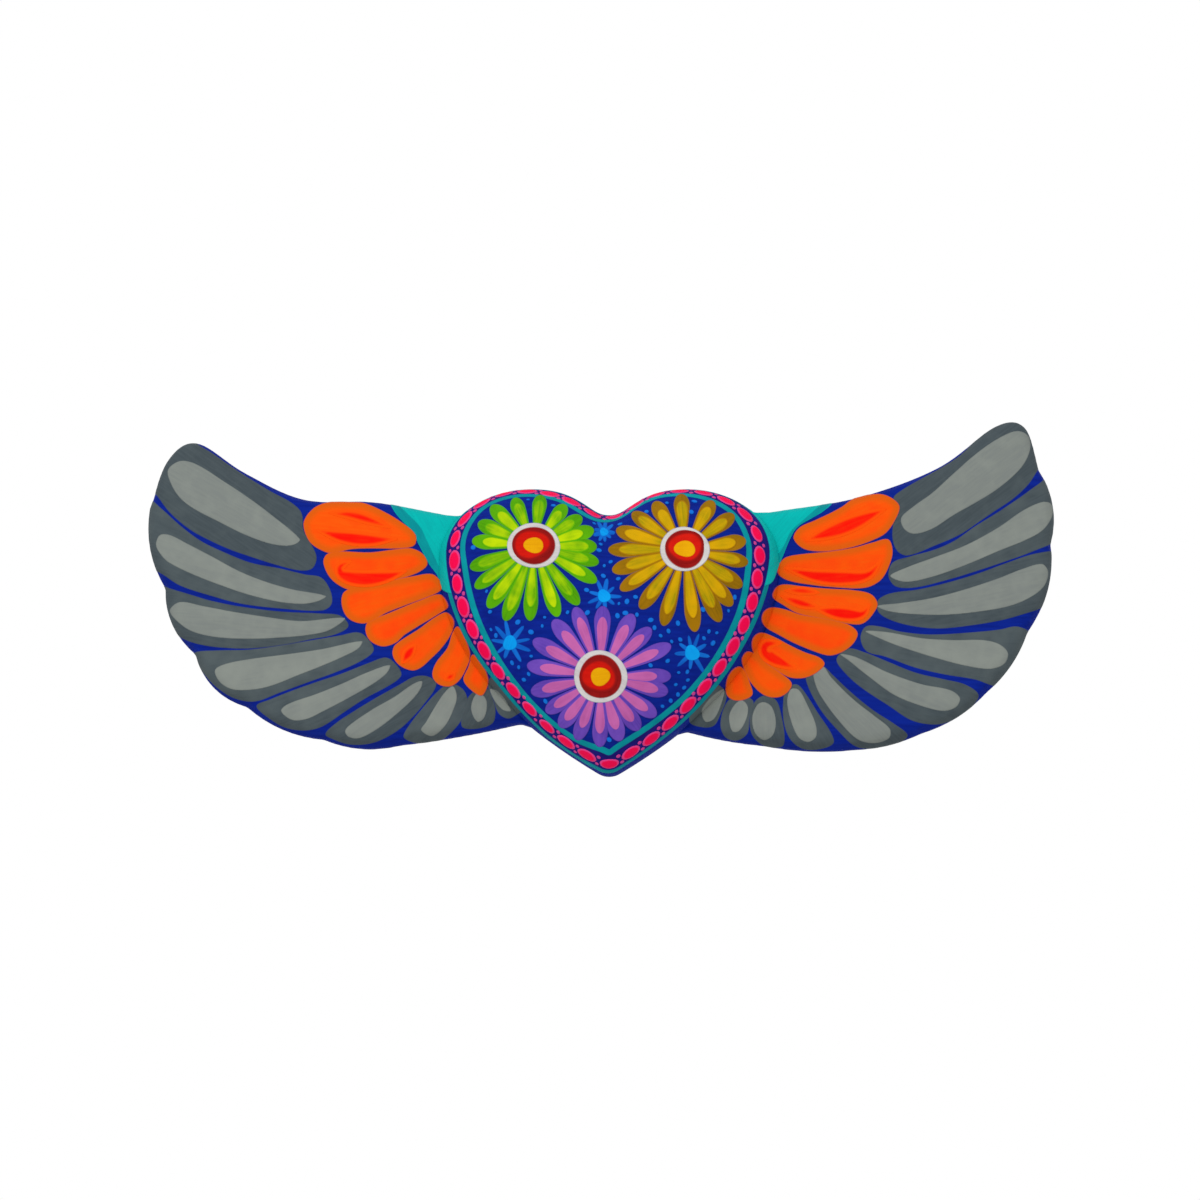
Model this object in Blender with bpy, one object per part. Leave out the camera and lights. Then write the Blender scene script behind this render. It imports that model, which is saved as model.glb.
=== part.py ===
"""Winged heart wall hanging: a carved wooden heart with a carved wing dowelled and glued to each flank.

The wall is the plane y = 0, the front faces -Y and +Z is up. The origin lies on the flat back of the
heart, on its centre line, just under the hollow that holds the ring hanger. All sizes are in metres.
"""

import math

import bmesh
import bpy
import numpy as np
from mathutils import Vector, geometry

MM = 0.001

# Gap left between two pieces that are glued, screwed or laid against each other
FIT_GAP = 0.3 * MM

# Heart, seen from the front
HEART_HALF_WIDTH = 60.0 * MM
WIDEST_Z = 25.0 * MM
LOBE_TOP_X = 28.0 * MM
LOBE_TOP_Z = 51.7 * MM
CLEFT_Z = 42.0 * MM
CLEFT_RADIUS = 9.0 * MM
CLEFT_SLOPE = math.radians(34.0)
TIP_Z = -49.6 * MM
TIP_RADIUS = 7.0 * MM
TIP_SLOPE = math.radians(31.0)

# How far each curve of the heart's outline runs on along its end tangents, as a share of its span
TIP_PULL = 0.45
FLANK_DROP_PULL = 0.38
FLANK_LIFT_PULL = 0.58
LOBE_OUTER_PULL = 0.52
LOBE_INNER_PULL = 0.45
CLEFT_PULL = 0.30

# Heart, in depth: a plain wall all round, then a dome that crowns at DOME_Z
HEART_WALL = 9.0 * MM
DOME_RISE = 29.0 * MM
DOME_Z = 4.0 * MM
DOME_FULLNESS = 2.15
BACK_EASE = 1.2 * MM

# Wings: thickness, the rounded front edge and the shallow grooves that part the long feathers
WING_THICKNESS = 12.0 * MM
EDGE_ROUND = 5.0 * MM
CROWN = 1.4 * MM
CROWN_WIDTH = 22.0 * MM
GROOVE_DEPTH = 0.9 * MM
GROOVE_HALF_WIDTH = 2.6 * MM
GROOVE_FADE = 12.0 * MM

# Where each glued joint starts below the heart's lobe and ends above its tip
LEFT_JOINT_DROP = 9.1 * MM
LEFT_JOINT_RISE = 19.0 * MM
RIGHT_JOINT_DROP = 7.7 * MM
RIGHT_JOINT_RISE = 16.2 * MM

# Wing outlines in millimetres: distance outwards from the heart's widest line, and height.
# The leading edge is a smooth curve to the wing's tip. Each scallop is one feather end: the point where it
# stops at the next feather, and how far it swells past a straight line.
LEFT_LEADING_EDGE = [
    (2.8, 44.7),
    (24.0, 48.5),
    (48.5, 49.4),
    (69.9, 59.2),
    (87.4, 70.2),
    (97.6, 63.7),
    (103.4, 46.0),
]
LEFT_SCALLOPS = [
    (96.8, 17.0, 2.6),
    (85.4, -6.5, 3.0),
    (67.0, -24.9, 3.6),
    (39.9, -36.4, 2.4),
    (13.4, -38.5, 2.2),
]
RIGHT_LEADING_EDGE = [
    (1.3, 45.4),
    (29.5, 50.4),
    (57.7, 61.2),
    (78.6, 76.4),
    (89.0, 75.9),
    (93.6, 60.3),
]
RIGHT_SCALLOPS = [
    (96.8, 33.3, 2.8),
    (87.2, 1.1, 3.1),
    (72.4, -19.9, 1.7),
    (49.4, -34.2, 1.8),
    (26.0, -40.0, 1.2),
    (-5.8, -38.6, 1.2),
]

# The short stretch from the last feather end to the heart swells the same way
LAST_SWELL = 0.7 * MM

# Grooves between the long feathers: outer end, inner end, and how far the line bows downwards, in millimetres
LEFT_GROOVES = [
    ((100.8, 49.5), (42.3, 21.6), 6.0),
    ((97.2, 19.0), (36.5, 8.4), 4.3),
    ((86.6, -5.4), (30.0, 2.5), 3.9),
    ((66.5, -25.6), (24.3, -8.9), 1.4),
    ((38.5, -37.0), (12.5, -15.5), -2.0),
    ((13.4, -38.0), (-0.5, -17.0), 0.0),
]
RIGHT_GROOVES = [
    ((92.5, 60.0), (41.0, 26.0), 2.5),
    ((96.0, 33.5), (36.0, 15.0), 3.5),
    ((92.0, 6.5), (31.0, 5.0), 3.0),
    ((76.0, -16.5), (27.0, -2.5), 1.5),
    ((49.8, -34.0), (17.5, -8.0), -1.0),
    ((25.4, -39.5), (7.5, -15.0), -1.0),
]

# Dowels that pin each wing to the heart
DOWEL_DIAMETER = 6.0 * MM
DOWEL_LENGTH = 30.0 * MM
DOWEL_CHAMFER = 0.8 * MM
DOWEL_FLUTES = 12
DOWEL_FLUTE_DEPTH = 0.25 * MM
UPPER_DOWEL_DROP = 22.7 * MM
DOWEL_SPACING = 22.0 * MM

# Ring hanger: a folded steel strap, one screw and a D-shaped wire ring
RING_WIRE = 2.0 * MM
RING_SIDE_ROOM = 1.6 * MM
RING_LEG = 4.4 * MM
RING_CORNER = 1.8 * MM
STRAP_WIDTH = 9.4 * MM
STRAP_THICKNESS = 0.8 * MM
STRAP_NECK = 3.8 * MM
STRAP_END = 6.0 * MM
STRAP_CORNER = 3.0 * MM
STRAP_WRAP_END = math.radians(-48.0)
KNUCKLE_CLEARANCE = 0.3 * MM
SCREW_NECK_ROOM = 0.6 * MM
SCREW_SHANK = 2.8 * MM
SCREW_POINT = 2.8 * MM
SCREW_LENGTH = 12.0 * MM
SCREW_HEAD = 5.2 * MM
SCREW_HEAD_HEIGHT = 1.8 * MM
SCREW_HEAD_EDGE = 0.8 * MM
SCREW_SLOT_LENGTH = 3.2 * MM
SCREW_SLOT_WIDTH = 0.8 * MM
SCREW_SLOT_DEPTH = 0.8 * MM

# Hollow in the heart's back for the hanger, deep enough for the ring to lie below the back face
HOLLOW_DEPTH = 7.0 * MM
HOLLOW_WALL = 4.3 * MM
HOLLOW_SIDE_ROOM = 2.7 * MM
HOLLOW_TOP_ROOM = 6.0 * MM
HOLLOW_BOTTOM_ROOM = 1.6 * MM
HOLLOW_CORNER = 5.0 * MM

# Mesh fineness
CURVE_STEPS = 14
ARC_STEPS = 8
DOME_STEPS = 11
SCALLOP_STEPS = 8
FIELD_SPACING = 7.5 * MM
FIELD_ROOM = 4.6 * MM
RIM_ROOM = 0.8 * MM
GROOVE_SPACING = 4.5 * MM
RIM_SHARES = (0.12, 0.38, 0.75, 1.25)
ROUND_SEGMENTS = 24
HEAD_STEPS = 4
SMOOTH_ANGLE = math.radians(35.0)

# Sizes that follow from the ones above
LEFT_JOINT = (LOBE_TOP_Z - LEFT_JOINT_DROP, TIP_Z + LEFT_JOINT_RISE)
RIGHT_JOINT = (LOBE_TOP_Z - RIGHT_JOINT_DROP, TIP_Z + RIGHT_JOINT_RISE)
UPPER_DOWEL_Z = LOBE_TOP_Z - UPPER_DOWEL_DROP
LOWER_DOWEL_Z = UPPER_DOWEL_Z - DOWEL_SPACING
DOWEL_Y = -WING_THICKNESS / 2
RING_RADIUS = RING_WIRE / 2
RING_HALF_WIDTH = STRAP_WIDTH / 2 + RING_SIDE_ROOM + RING_RADIUS
RING_REACH = RING_LEG + RING_HALF_WIDTH
KNUCKLE_RADIUS = RING_RADIUS + KNUCKLE_CLEARANCE + STRAP_THICKNESS / 2
HOLLOW_FLOOR_Y = -HOLLOW_DEPTH
BACK_LEAF_Y = HOLLOW_FLOOR_Y + FIT_GAP + STRAP_THICKNESS / 2
FRONT_LEAF_Y = BACK_LEAF_Y + STRAP_THICKNESS + FIT_GAP
HOLLOW_TOP_Z = CLEFT_Z - HOLLOW_WALL
HINGE_Y = BACK_LEAF_Y + KNUCKLE_RADIUS
HINGE_Z = HOLLOW_TOP_Z - HOLLOW_TOP_ROOM - RING_RADIUS - RING_REACH
RING_LEAN = math.asin((HINGE_Y - HOLLOW_FLOOR_Y - RING_RADIUS - FIT_GAP) / RING_REACH)
SCREW_Z = HINGE_Z - STRAP_NECK - SCREW_NECK_ROOM - SCREW_HEAD / 2
SCREW_SEAT_Y = FRONT_LEAF_Y + STRAP_THICKNESS / 2 + FIT_GAP
STRAP_FOOT_Z = SCREW_Z - STRAP_END
HOLLOW_HALF_WIDTH = RING_HALF_WIDTH + RING_RADIUS + HOLLOW_SIDE_ROOM
HOLLOW_BOTTOM_Z = min(STRAP_FOOT_Z, HINGE_Z - RING_REACH - RING_RADIUS) - HOLLOW_BOTTOM_ROOM


def clear_scene():
    for obj in list(bpy.data.objects):
        bpy.data.objects.remove(obj, do_unlink=True)


def paint(name, colour, roughness, metallic=0.0):
    """A plain material in linear colour."""
    material = bpy.data.materials.new(name)
    material.use_nodes = True
    shader = material.node_tree.nodes["Principled BSDF"]
    shader.inputs["Base Color"].default_value = (*colour, 1.0)
    shader.inputs["Roughness"].default_value = roughness
    shader.inputs["Metallic"].default_value = metallic
    material.diffuse_color = (*colour, 1.0)
    return material


def add_object(name, bm, material):
    """Closes a bmesh into a named object with outward faces."""
    bmesh.ops.recalc_face_normals(bm, faces=bm.faces)
    mesh = bpy.data.meshes.new(name)
    bm.to_mesh(mesh)
    bm.free()
    mesh.shade_smooth()
    mesh.set_sharp_from_angle(angle=SMOOTH_ANGLE)
    if material:
        mesh.materials.append(material)
    obj = bpy.data.objects.new(name, mesh)
    bpy.context.scene.collection.objects.link(obj)
    return obj


def add_cutter(name, bm):
    """A helper solid that only cuts others."""
    cutter = add_object(name, bm, None)
    cutter.hide_render = True
    cutter.display_type = "WIRE"
    return cutter


def cut(obj, cutter, operation="DIFFERENCE"):
    modifier = obj.modifiers.new(f"{operation.lower()} {cutter.name}", "BOOLEAN")
    modifier.object = cutter
    modifier.operation = operation
    modifier.solver = "EXACT"


# Flat outlines, as lists of (x, z)


def bezier(start, start_pull, end_pull, end, steps):
    """Points on a cubic curve, without its last point."""
    found = []
    for i in range(steps):
        t = i / steps
        s = 1 - t
        weights = (s**3, 3 * s * s * t, 3 * s * t * t, t**3)
        corners = (start, start_pull, end_pull, end)
        found.append(tuple(sum(w * c[k] for w, c in zip(weights, corners)) for k in (0, 1)))
    return found


def arc(centre, radius, first, last, steps):
    """Points on an arc between two angles, without its last point."""
    angles = [first + (last - first) * i / steps for i in range(steps)]
    return [(centre[0] + radius * math.cos(a), centre[1] + radius * math.sin(a)) for a in angles]


def smooth_through(points, steps):
    """A Catmull-Rom curve through points, with the last point left out."""
    ends = [2 * Vector(points[0]) - Vector(points[1])]
    ends += [Vector(p) for p in points]
    ends.append(2 * ends[-1] - ends[-2])
    found = []
    for a, b, c, d in zip(ends, ends[1:], ends[2:], ends[3:]):
        for i in range(steps):
            t = i / steps
            p = 2 * b + (c - a) * t + (2 * a - 5 * b + 4 * c - d) * t * t
            p += (3 * b - 3 * c + d - a) * t**3
            found.append(tuple(p / 2))
    return found


def swell(start, end, bulge, side, steps):
    """A feather end: a shallow arch from start towards end, without its last point."""
    start, end = Vector(start), Vector(end)
    run = end - start
    out = Vector((-run.y, run.x)).normalized() * side
    found = []
    for i in range(steps):
        t = i / steps
        found.append(tuple(start + run * t + out * bulge * 4 * t * (1 - t)))
    return found


def outward(points, distance):
    """A closed, counter-clockwise outline moved outwards along its normals."""
    count = len(points)
    moved = []
    for i, (x, z) in enumerate(points):
        before, after = Vector(points[i - 1]), Vector(points[(i + 1) % count])
        run = (after - before).normalized()
        moved.append((x + run.y * distance, z - run.x * distance))
    return moved


def along(start, angle, distance):
    """The point at a distance from start in the direction of an angle."""
    return (start[0] + distance * math.cos(angle), start[1] + distance * math.sin(angle))


def right_flank():
    """The heart's outline from its tip up the right flank to the top of the lobe, without that last point."""
    tip_centre = (0.0, TIP_Z + TIP_RADIUS)
    tip = arc(tip_centre, TIP_RADIUS, -math.pi / 2, TIP_SLOPE - math.pi / 2, ARC_STEPS)
    tip_end = along(tip_centre, TIP_SLOPE - math.pi / 2, TIP_RADIUS)
    widest = (HEART_HALF_WIDTH, WIDEST_Z)
    side_pull = along(tip_end, TIP_SLOPE, TIP_PULL * math.dist(tip_end, widest))
    drop_pull = (HEART_HALF_WIDTH, WIDEST_Z - FLANK_DROP_PULL * (WIDEST_Z - TIP_Z))
    side = bezier(tip_end, side_pull, drop_pull, widest, CURVE_STEPS + ARC_STEPS)
    lift_pull = (HEART_HALF_WIDTH, WIDEST_Z + FLANK_LIFT_PULL * (LOBE_TOP_Z - WIDEST_Z))
    lobe_pull = (LOBE_TOP_X + LOBE_OUTER_PULL * (HEART_HALF_WIDTH - LOBE_TOP_X), LOBE_TOP_Z)
    lobe = bezier(widest, lift_pull, lobe_pull, (LOBE_TOP_X, LOBE_TOP_Z), CURVE_STEPS)
    return tip + side + lobe


def right_cleft_side():
    """The heart's outline from the top of the right lobe to the cleft, without the cleft itself."""
    lobe_top = (LOBE_TOP_X, LOBE_TOP_Z)
    centre = (0.0, CLEFT_Z + CLEFT_RADIUS)
    edge = along(centre, CLEFT_SLOPE - math.pi / 2, CLEFT_RADIUS)
    lobe_pull = (LOBE_TOP_X - LOBE_INNER_PULL * LOBE_TOP_X, LOBE_TOP_Z)
    cleft_pull = along(edge, CLEFT_SLOPE, CLEFT_PULL * math.dist(edge, lobe_top))
    inner = bezier(lobe_top, lobe_pull, cleft_pull, edge, CURVE_STEPS)
    return inner + arc(centre, CLEFT_RADIUS, CLEFT_SLOPE - math.pi / 2, -math.pi / 2, ARC_STEPS // 2)


def heart_outline():
    """The whole outline, counter-clockwise from the tip."""
    right = right_flank() + right_cleft_side()
    left = [(-x, z) for x, z in reversed(right[1:])]
    return right + [(0.0, CLEFT_Z)] + left


def flank_at(side, heights):
    """The points of the heart's flank at these heights, moved out by the glue gap."""
    line = outward(heart_outline(), FIT_GAP)[: len(right_flank())]
    widths = np.interp(heights, [z for _, z in line], [x for x, _ in line])
    return [(side * float(x), float(z)) for x, z in zip(widths, heights)]


def wing_root(side, top_z, bottom_z):
    """The glued edge of a wing, from top to bottom."""
    between = [z for _, z in reversed(right_flank()) if bottom_z + FIT_GAP < z < top_z - FIT_GAP]
    return flank_at(side, [top_z, *between, bottom_z])


def placed(point, side):
    """A wing point in millimetres, placed outwards from the heart's widest line."""
    return (side * (HEART_HALF_WIDTH + point[0] * MM), point[1] * MM)


def wing_free_edge(side, root, leading_edge, scallops):
    """The wing's edge that joins nothing, from the joint's top round the tip to the joint's bottom."""
    lead = [root[0]] + [placed(p, side) for p in leading_edge]
    edge = smooth_through(lead, SCALLOP_STEPS)[: (len(lead) - 1) * SCALLOP_STEPS]
    start = lead[-1]
    for u, z, bulge in scallops:
        end = placed((u, z), side)
        edge += swell(start, end, bulge * MM, side, SCALLOP_STEPS)
        start = end
    edge += swell(start, root[-1], LAST_SWELL, side, SCALLOP_STEPS)
    return edge + [root[-1]]


def groove_line(side, outer, inner, bow):
    """A groove as points from the wing's edge inwards."""
    start, end = Vector(placed(outer, side)), Vector(placed(inner, side))
    steps = max(4, round((end - start).length / GROOVE_SPACING))
    found = []
    for i in range(steps + 1):
        t = i / steps
        found.append(start.lerp(end, t) - Vector((0.0, bow * MM * 4 * t * (1 - t))))
    return found


# Solids


def distance_to_line(points, line):
    """Each point's distance to an open line of straight runs."""
    points, line = np.asarray(points, float), np.asarray(line, float)
    start, run = line[:-1], np.diff(line, axis=0)
    length = np.maximum((run**2).sum(1), 1e-18)
    away = points[:, None, :] - start[None]
    along = np.clip((away * run).sum(2) / length, 0.0, 1.0)
    return np.sqrt(((away - along[..., None] * run) ** 2).sum(2)).min(1)


def wing_height(points, edge, grooves):
    """How far the wing's front stands from the wall at each point."""
    inset = distance_to_line(points, edge)
    rim = 1 - np.minimum(inset / EDGE_ROUND, 1.0)
    height = WING_THICKNESS - CROWN - EDGE_ROUND * (1 - np.sqrt(1 - rim**2))
    climb = np.minimum(inset / CROWN_WIDTH, 1.0)
    height += CROWN * climb * (2 - climb)
    for line in grooves:
        near = distance_to_line(points, line)
        to_inner_end = np.hypot(*(np.asarray(points) - np.asarray(line[-1])).T)
        fade = np.minimum(to_inner_end / GROOVE_FADE, 1.0)
        height -= GROOVE_DEPTH * fade * np.exp(-((near / GROOVE_HALF_WIDTH) ** 2))
    return height


def inside(point, outline):
    """Whether a point lies in a closed outline."""
    x, z = point
    found = False
    for (ax, az), (bx, bz) in zip(outline, outline[1:] + outline[:1]):
        if (az > z) != (bz > z) and x < ax + (z - az) * (bx - ax) / (bz - az):
            found = not found
    return found


def wing_points(outline, edge, grooves):
    """The points that the wing's front is built on: its rim, its grooves and an even field between them."""
    wanted = []
    rim = [outward(outline, -EDGE_ROUND * share) for share in RIM_SHARES]
    on_edge = {(round(x, 9), round(z, 9)) for x, z in edge}
    free = [i for i, (x, z) in enumerate(outline) if (round(x, 9), round(z, 9)) in on_edge]
    for line in grooves:
        for before, here in zip(line, line[1:]):
            across = (here - before).orthogonal().normalized() * GROOVE_HALF_WIDTH
            wanted += [tuple(here), tuple(here + across), tuple(here - across)]
    for loop in rim:
        wanted += [loop[i] for i in free]
    low, high = np.min(outline, axis=0), np.max(outline, axis=0)
    rows = int((high[1] - low[1]) / FIELD_SPACING) + 1
    columns = int((high[0] - low[0]) / FIELD_SPACING) + 1
    for row in range(rows):
        shift = 0.5 * (row % 2)
        for column in range(columns):
            wanted.append((low[0] + (column + shift) * FIELD_SPACING, low[1] + row * FIELD_SPACING))
    kept = list(outline)
    for number, point in enumerate(wanted):
        near = min(math.dist(point, other) for other in kept)
        in_field = number >= len(wanted) - rows * columns
        room = FIELD_ROOM if in_field else RIM_ROOM
        if near > room and inside(point, outline):
            kept.append(point)
    return kept


def make_wing(name, side, joint, leading_edge, scallops, groove_list, material):
    root = wing_root(side, *joint)
    edge = wing_free_edge(side, root, leading_edge, scallops)
    outline = edge + list(reversed(root[1:-1]))
    if side > 0:
        outline.reverse()
    grooves = [groove_line(side, *g) for g in groove_list]
    points = wing_points(outline, edge, grooves)
    count = len(outline)
    border = [(i, (i + 1) % count) for i in range(count)]
    flat, _, triangles, *_ = geometry.delaunay_2d_cdt([Vector(p) for p in points], border, [], 1, 1e-7)
    heights = wing_height([tuple(p) for p in flat], edge, grooves)
    bm = bmesh.new()
    front = [bm.verts.new((p.x, -h, p.y)) for p, h in zip(flat, heights)]
    for triangle in triangles:
        bm.faces.new([front[i] for i in triangle])
    back_edge = [bm.verts.new((x, -BACK_EASE, z)) for x, z in outline]
    back_face = [bm.verts.new((x, 0.0, z)) for x, z in outward(outline, -BACK_EASE)]
    for i in range(count):
        k = (i + 1) % count
        bm.faces.new((front[i], front[k], back_edge[k], back_edge[i]))
        bm.faces.new((back_edge[i], back_edge[k], back_face[k], back_face[i]))
    bm.faces.new(back_face)
    return add_object(name, bm, material)


def make_heart(material):
    outline = heart_outline()
    rings = [[(x, 0.0, z) for x, z in outward(outline, -BACK_EASE)]]
    rings.append([(x, -BACK_EASE, z) for x, z in outline])
    for step in range(DOME_STEPS):
        angle = math.pi / 2 * step / DOME_STEPS
        share = math.cos(angle)
        depth = HEART_WALL + DOME_RISE * (1 - share**DOME_FULLNESS) ** 0.5
        rings.append([(x * share, -depth, DOME_Z + (z - DOME_Z) * share) for x, z in outline])
    bm = bmesh.new()
    loops = [[bm.verts.new(p) for p in ring] for ring in rings]
    crown = bm.verts.new((0.0, -HEART_WALL - DOME_RISE, DOME_Z))
    count = len(outline)
    for lower, upper in zip(loops, loops[1:]):
        for i in range(count):
            k = (i + 1) % count
            bm.faces.new((lower[i], lower[k], upper[k], upper[i]))
    for i in range(count):
        bm.faces.new((loops[-1][i], loops[-1][(i + 1) % count], crown))
    bm.faces.new(loops[0])
    return add_object("heart_body", bm, material)


def lathe(profile, axis, segments=ROUND_SEGMENTS, flutes=0, flute_depth=0.0):
    """Turns (radius, distance along) points about an axis letter. The first and last radius are zero."""
    bm = bmesh.new()
    loops = []
    for radius, along in profile:
        if radius == 0.0:
            loops.append([bm.verts.new(on_axis(axis, 0.0, 0.0, along))])
            continue
        loop = []
        for i in range(segments):
            angle = 2 * math.pi * i / segments
            cut_in = flute_depth * (0.5 - 0.5 * math.cos(flutes * angle)) if flutes else 0.0
            r = radius - cut_in
            loop.append(bm.verts.new(on_axis(axis, r * math.cos(angle), r * math.sin(angle), along)))
        loops.append(loop)
    for lower, upper in zip(loops, loops[1:]):
        for i in range(segments):
            k = (i + 1) % segments
            a, b = lower[i % len(lower)], lower[k % len(lower)]
            c, d = upper[k % len(upper)], upper[i % len(upper)]
            bm.faces.new(list(dict.fromkeys((a, b, c, d))))
    return bm


def on_axis(axis, across, up, along):
    return {"X": (along, across, up), "Y": (across, along, up)}[axis]


def rod(axis, diameter, length):
    """A plain cylinder about its own middle."""
    half = length / 2
    return lathe([(0.0, -half), (diameter / 2, -half), (diameter / 2, half), (0.0, half)], axis)


def dowel_place(side, z):
    """The middle of a dowel, on the glued joint at that height."""
    [(x, _)] = flank_at(side, [z])
    return (x, DOWEL_Y, z)


def make_dowel(name, place, material):
    half, radius = DOWEL_LENGTH / 2, DOWEL_DIAMETER / 2
    body = half - DOWEL_CHAMFER
    nose = radius - DOWEL_CHAMFER
    profile = [(0.0, -half), (nose, -half), (radius, -body), (radius, body), (nose, half), (0.0, half)]
    bm = lathe(profile, "X", 2 * DOWEL_FLUTES, DOWEL_FLUTES, DOWEL_FLUTE_DEPTH)
    dowel = add_object(name, bm, material)
    dowel.location = place
    return dowel


def make_dowel_hole(name, place, pieces):
    hole = add_cutter(name, rod("X", DOWEL_DIAMETER + 2 * FIT_GAP, DOWEL_LENGTH + 2 * FIT_GAP))
    hole.location = place
    for piece in pieces:
        cut(piece, hole)


def rounded_plan(half_width, bottom, top, corner, y_low, y_high):
    """A block with a rounded rectangle for its front view."""
    right, low, high = half_width - corner, bottom + corner, top - corner
    outline = []
    for turn, centre in enumerate(((right, low), (right, high), (-right, high), (-right, low))):
        start = (turn - 1) * math.pi / 2
        outline += arc(centre, corner, start, start + math.pi / 2, ARC_STEPS)
        outline.append(along(centre, start + math.pi / 2, corner))
    return extruded([(x, y_low, z) for x, z in outline], (0.0, y_high - y_low, 0.0))


def extruded(points, travel):
    """A flat closed outline pushed along one direction."""
    bm = bmesh.new()
    face = bm.faces.new([bm.verts.new(p) for p in points])
    pushed = bmesh.ops.extrude_face_region(bm, geom=[face])["geom"]
    bmesh.ops.translate(bm, vec=travel, verts=[v for v in pushed if isinstance(v, bmesh.types.BMVert)])
    return bm


def strap_fold():
    """The strap's centre line from the side: up its back leaf, round the ring's bar, down its front leaf."""
    hinge = (HINGE_Y, HINGE_Z)
    knuckle = arc(hinge, KNUCKLE_RADIUS, math.pi, STRAP_WRAP_END, 2 * ARC_STEPS)
    knuckle.append(along(hinge, STRAP_WRAP_END, KNUCKLE_RADIUS))
    front = [(FRONT_LEAF_Y, HINGE_Z - STRAP_NECK), (FRONT_LEAF_Y, STRAP_FOOT_Z)]
    return [(BACK_LEAF_Y, STRAP_FOOT_Z), *knuckle, *front]


def thickened(line, thickness):
    """A closed outline round a bent strip of even thickness."""
    half = thickness / 2
    left, right = [], []
    for i, here in enumerate(line):
        here = Vector(here)
        before = here - Vector(line[i - 1]) if i else Vector(line[1]) - here
        after = Vector(line[i + 1]) - here if i + 1 < len(line) else before
        bisector = (before.normalized() + after.normalized()).normalized()
        out = Vector((-bisector.y, bisector.x))
        reach = half / max(0.5, out.dot(Vector((-after.y, after.x)).normalized()))
        left.append(here + out * reach)
        right.append(here - out * reach)
    return left + right[::-1]


def make_strap(material):
    outline = thickened(strap_fold(), STRAP_THICKNESS)
    points = [(-STRAP_WIDTH / 2, p.x, p.y) for p in outline]
    strap = add_object("hanger_strap", extruded(points, (STRAP_WIDTH, 0.0, 0.0)), material)
    foot = STRAP_FOOT_Z - FIT_GAP
    head = HINGE_Z + KNUCKLE_RADIUS + STRAP_THICKNESS + STRAP_CORNER
    wide = STRAP_WIDTH / 2 + FIT_GAP
    plan = rounded_plan(wide, foot, head, STRAP_CORNER, -2 * HOLLOW_DEPTH, HOLLOW_DEPTH)
    cut(strap, add_cutter("strap_plan", plan), "INTERSECT")
    hole = add_cutter("strap_hole", rod("Y", SCREW_SHANK + 2 * FIT_GAP, 4 * HOLLOW_DEPTH))
    hole.location = (0.0, 0.0, SCREW_Z)
    cut(strap, hole)
    return strap


def make_screw(material):
    top, shank, head = SCREW_SEAT_Y + SCREW_HEAD_HEIGHT, SCREW_SHANK / 2, SCREW_HEAD / 2
    end, edge = SCREW_SEAT_Y - SCREW_LENGTH, SCREW_SEAT_Y + SCREW_HEAD_EDGE
    profile = [(0.0, end), (shank, end + SCREW_POINT), (shank, SCREW_SEAT_Y), (head, SCREW_SEAT_Y)]
    for step in range(HEAD_STEPS):
        angle = math.pi / 2 * step / HEAD_STEPS
        profile.append((head * math.cos(angle), edge + (top - edge) * math.sin(angle)))
    screw = add_object("hanger_screw", lathe(profile + [(0.0, top)], "Y"), material)
    screw.location = (0.0, 0.0, SCREW_Z)
    long, short = SCREW_SLOT_LENGTH / 2, SCREW_SLOT_WIDTH / 2
    for name, wide, tall in (("cross_flat", long, short), ("cross_upright", short, long)):
        depth = (top - SCREW_SLOT_DEPTH, top + SCREW_SLOT_DEPTH)
        cutter = add_cutter(name, rounded_plan(wide, -tall, tall, short / 2, *depth))
        cutter.location = (0.0, 0.0, SCREW_Z)
        cut(screw, cutter)
    return screw


def ring_line():
    """The ring's wire as (x, z) round its loop, with the hinge bar along z = 0."""
    half, quarter = RING_HALF_WIDTH, math.pi / 2
    corner = (half - RING_CORNER, RING_CORNER)
    line = arc(corner, RING_CORNER, -quarter, 0.0, ARC_STEPS // 2) + [(half, RING_CORNER)]
    line += arc((0.0, RING_LEG), half, 0.0, math.pi, 3 * ARC_STEPS) + [(-half, RING_LEG)]
    line += arc((-corner[0], RING_CORNER), RING_CORNER, math.pi, 3 * quarter, ARC_STEPS // 2)
    return line + [(-corner[0], 0.0), (0.0, 0.0)]


def make_ring(material):
    curve = bpy.data.curves.new("hanger_ring", "CURVE")
    curve.dimensions = "3D"
    curve.bevel_depth = RING_RADIUS
    curve.bevel_resolution = 3
    spline = curve.splines.new("POLY")
    line = ring_line()
    spline.points.add(len(line) - 1)
    for point, (x, z) in zip(spline.points, line):
        point.co = (x, 0.0, z, 1.0)
    spline.use_cyclic_u = True
    spline.use_smooth = True
    curve.materials.append(material)
    ring = bpy.data.objects.new("hanger_ring", curve)
    bpy.context.scene.collection.objects.link(ring)
    ring.location = (0.0, HINGE_Y, HINGE_Z)
    ring.rotation_euler.x = RING_LEAN
    return ring


def make_hollow(heart):
    """Cuts the hanger's hollow and the screw's pilot hole into the heart's back."""
    block = rounded_plan(
        HOLLOW_HALF_WIDTH, HOLLOW_BOTTOM_Z, HOLLOW_TOP_Z, HOLLOW_CORNER, HOLLOW_FLOOR_Y, HOLLOW_DEPTH
    )
    cut(heart, add_cutter("hanger_hollow", block))
    deep = SCREW_LENGTH + HOLLOW_DEPTH
    pilot = add_cutter("screw_pilot", rod("Y", SCREW_SHANK + 2 * FIT_GAP, 2 * deep))
    pilot.location = (0.0, SCREW_SEAT_Y - SCREW_LENGTH - FIT_GAP + deep, SCREW_Z)
    cut(heart, pilot)


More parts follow.
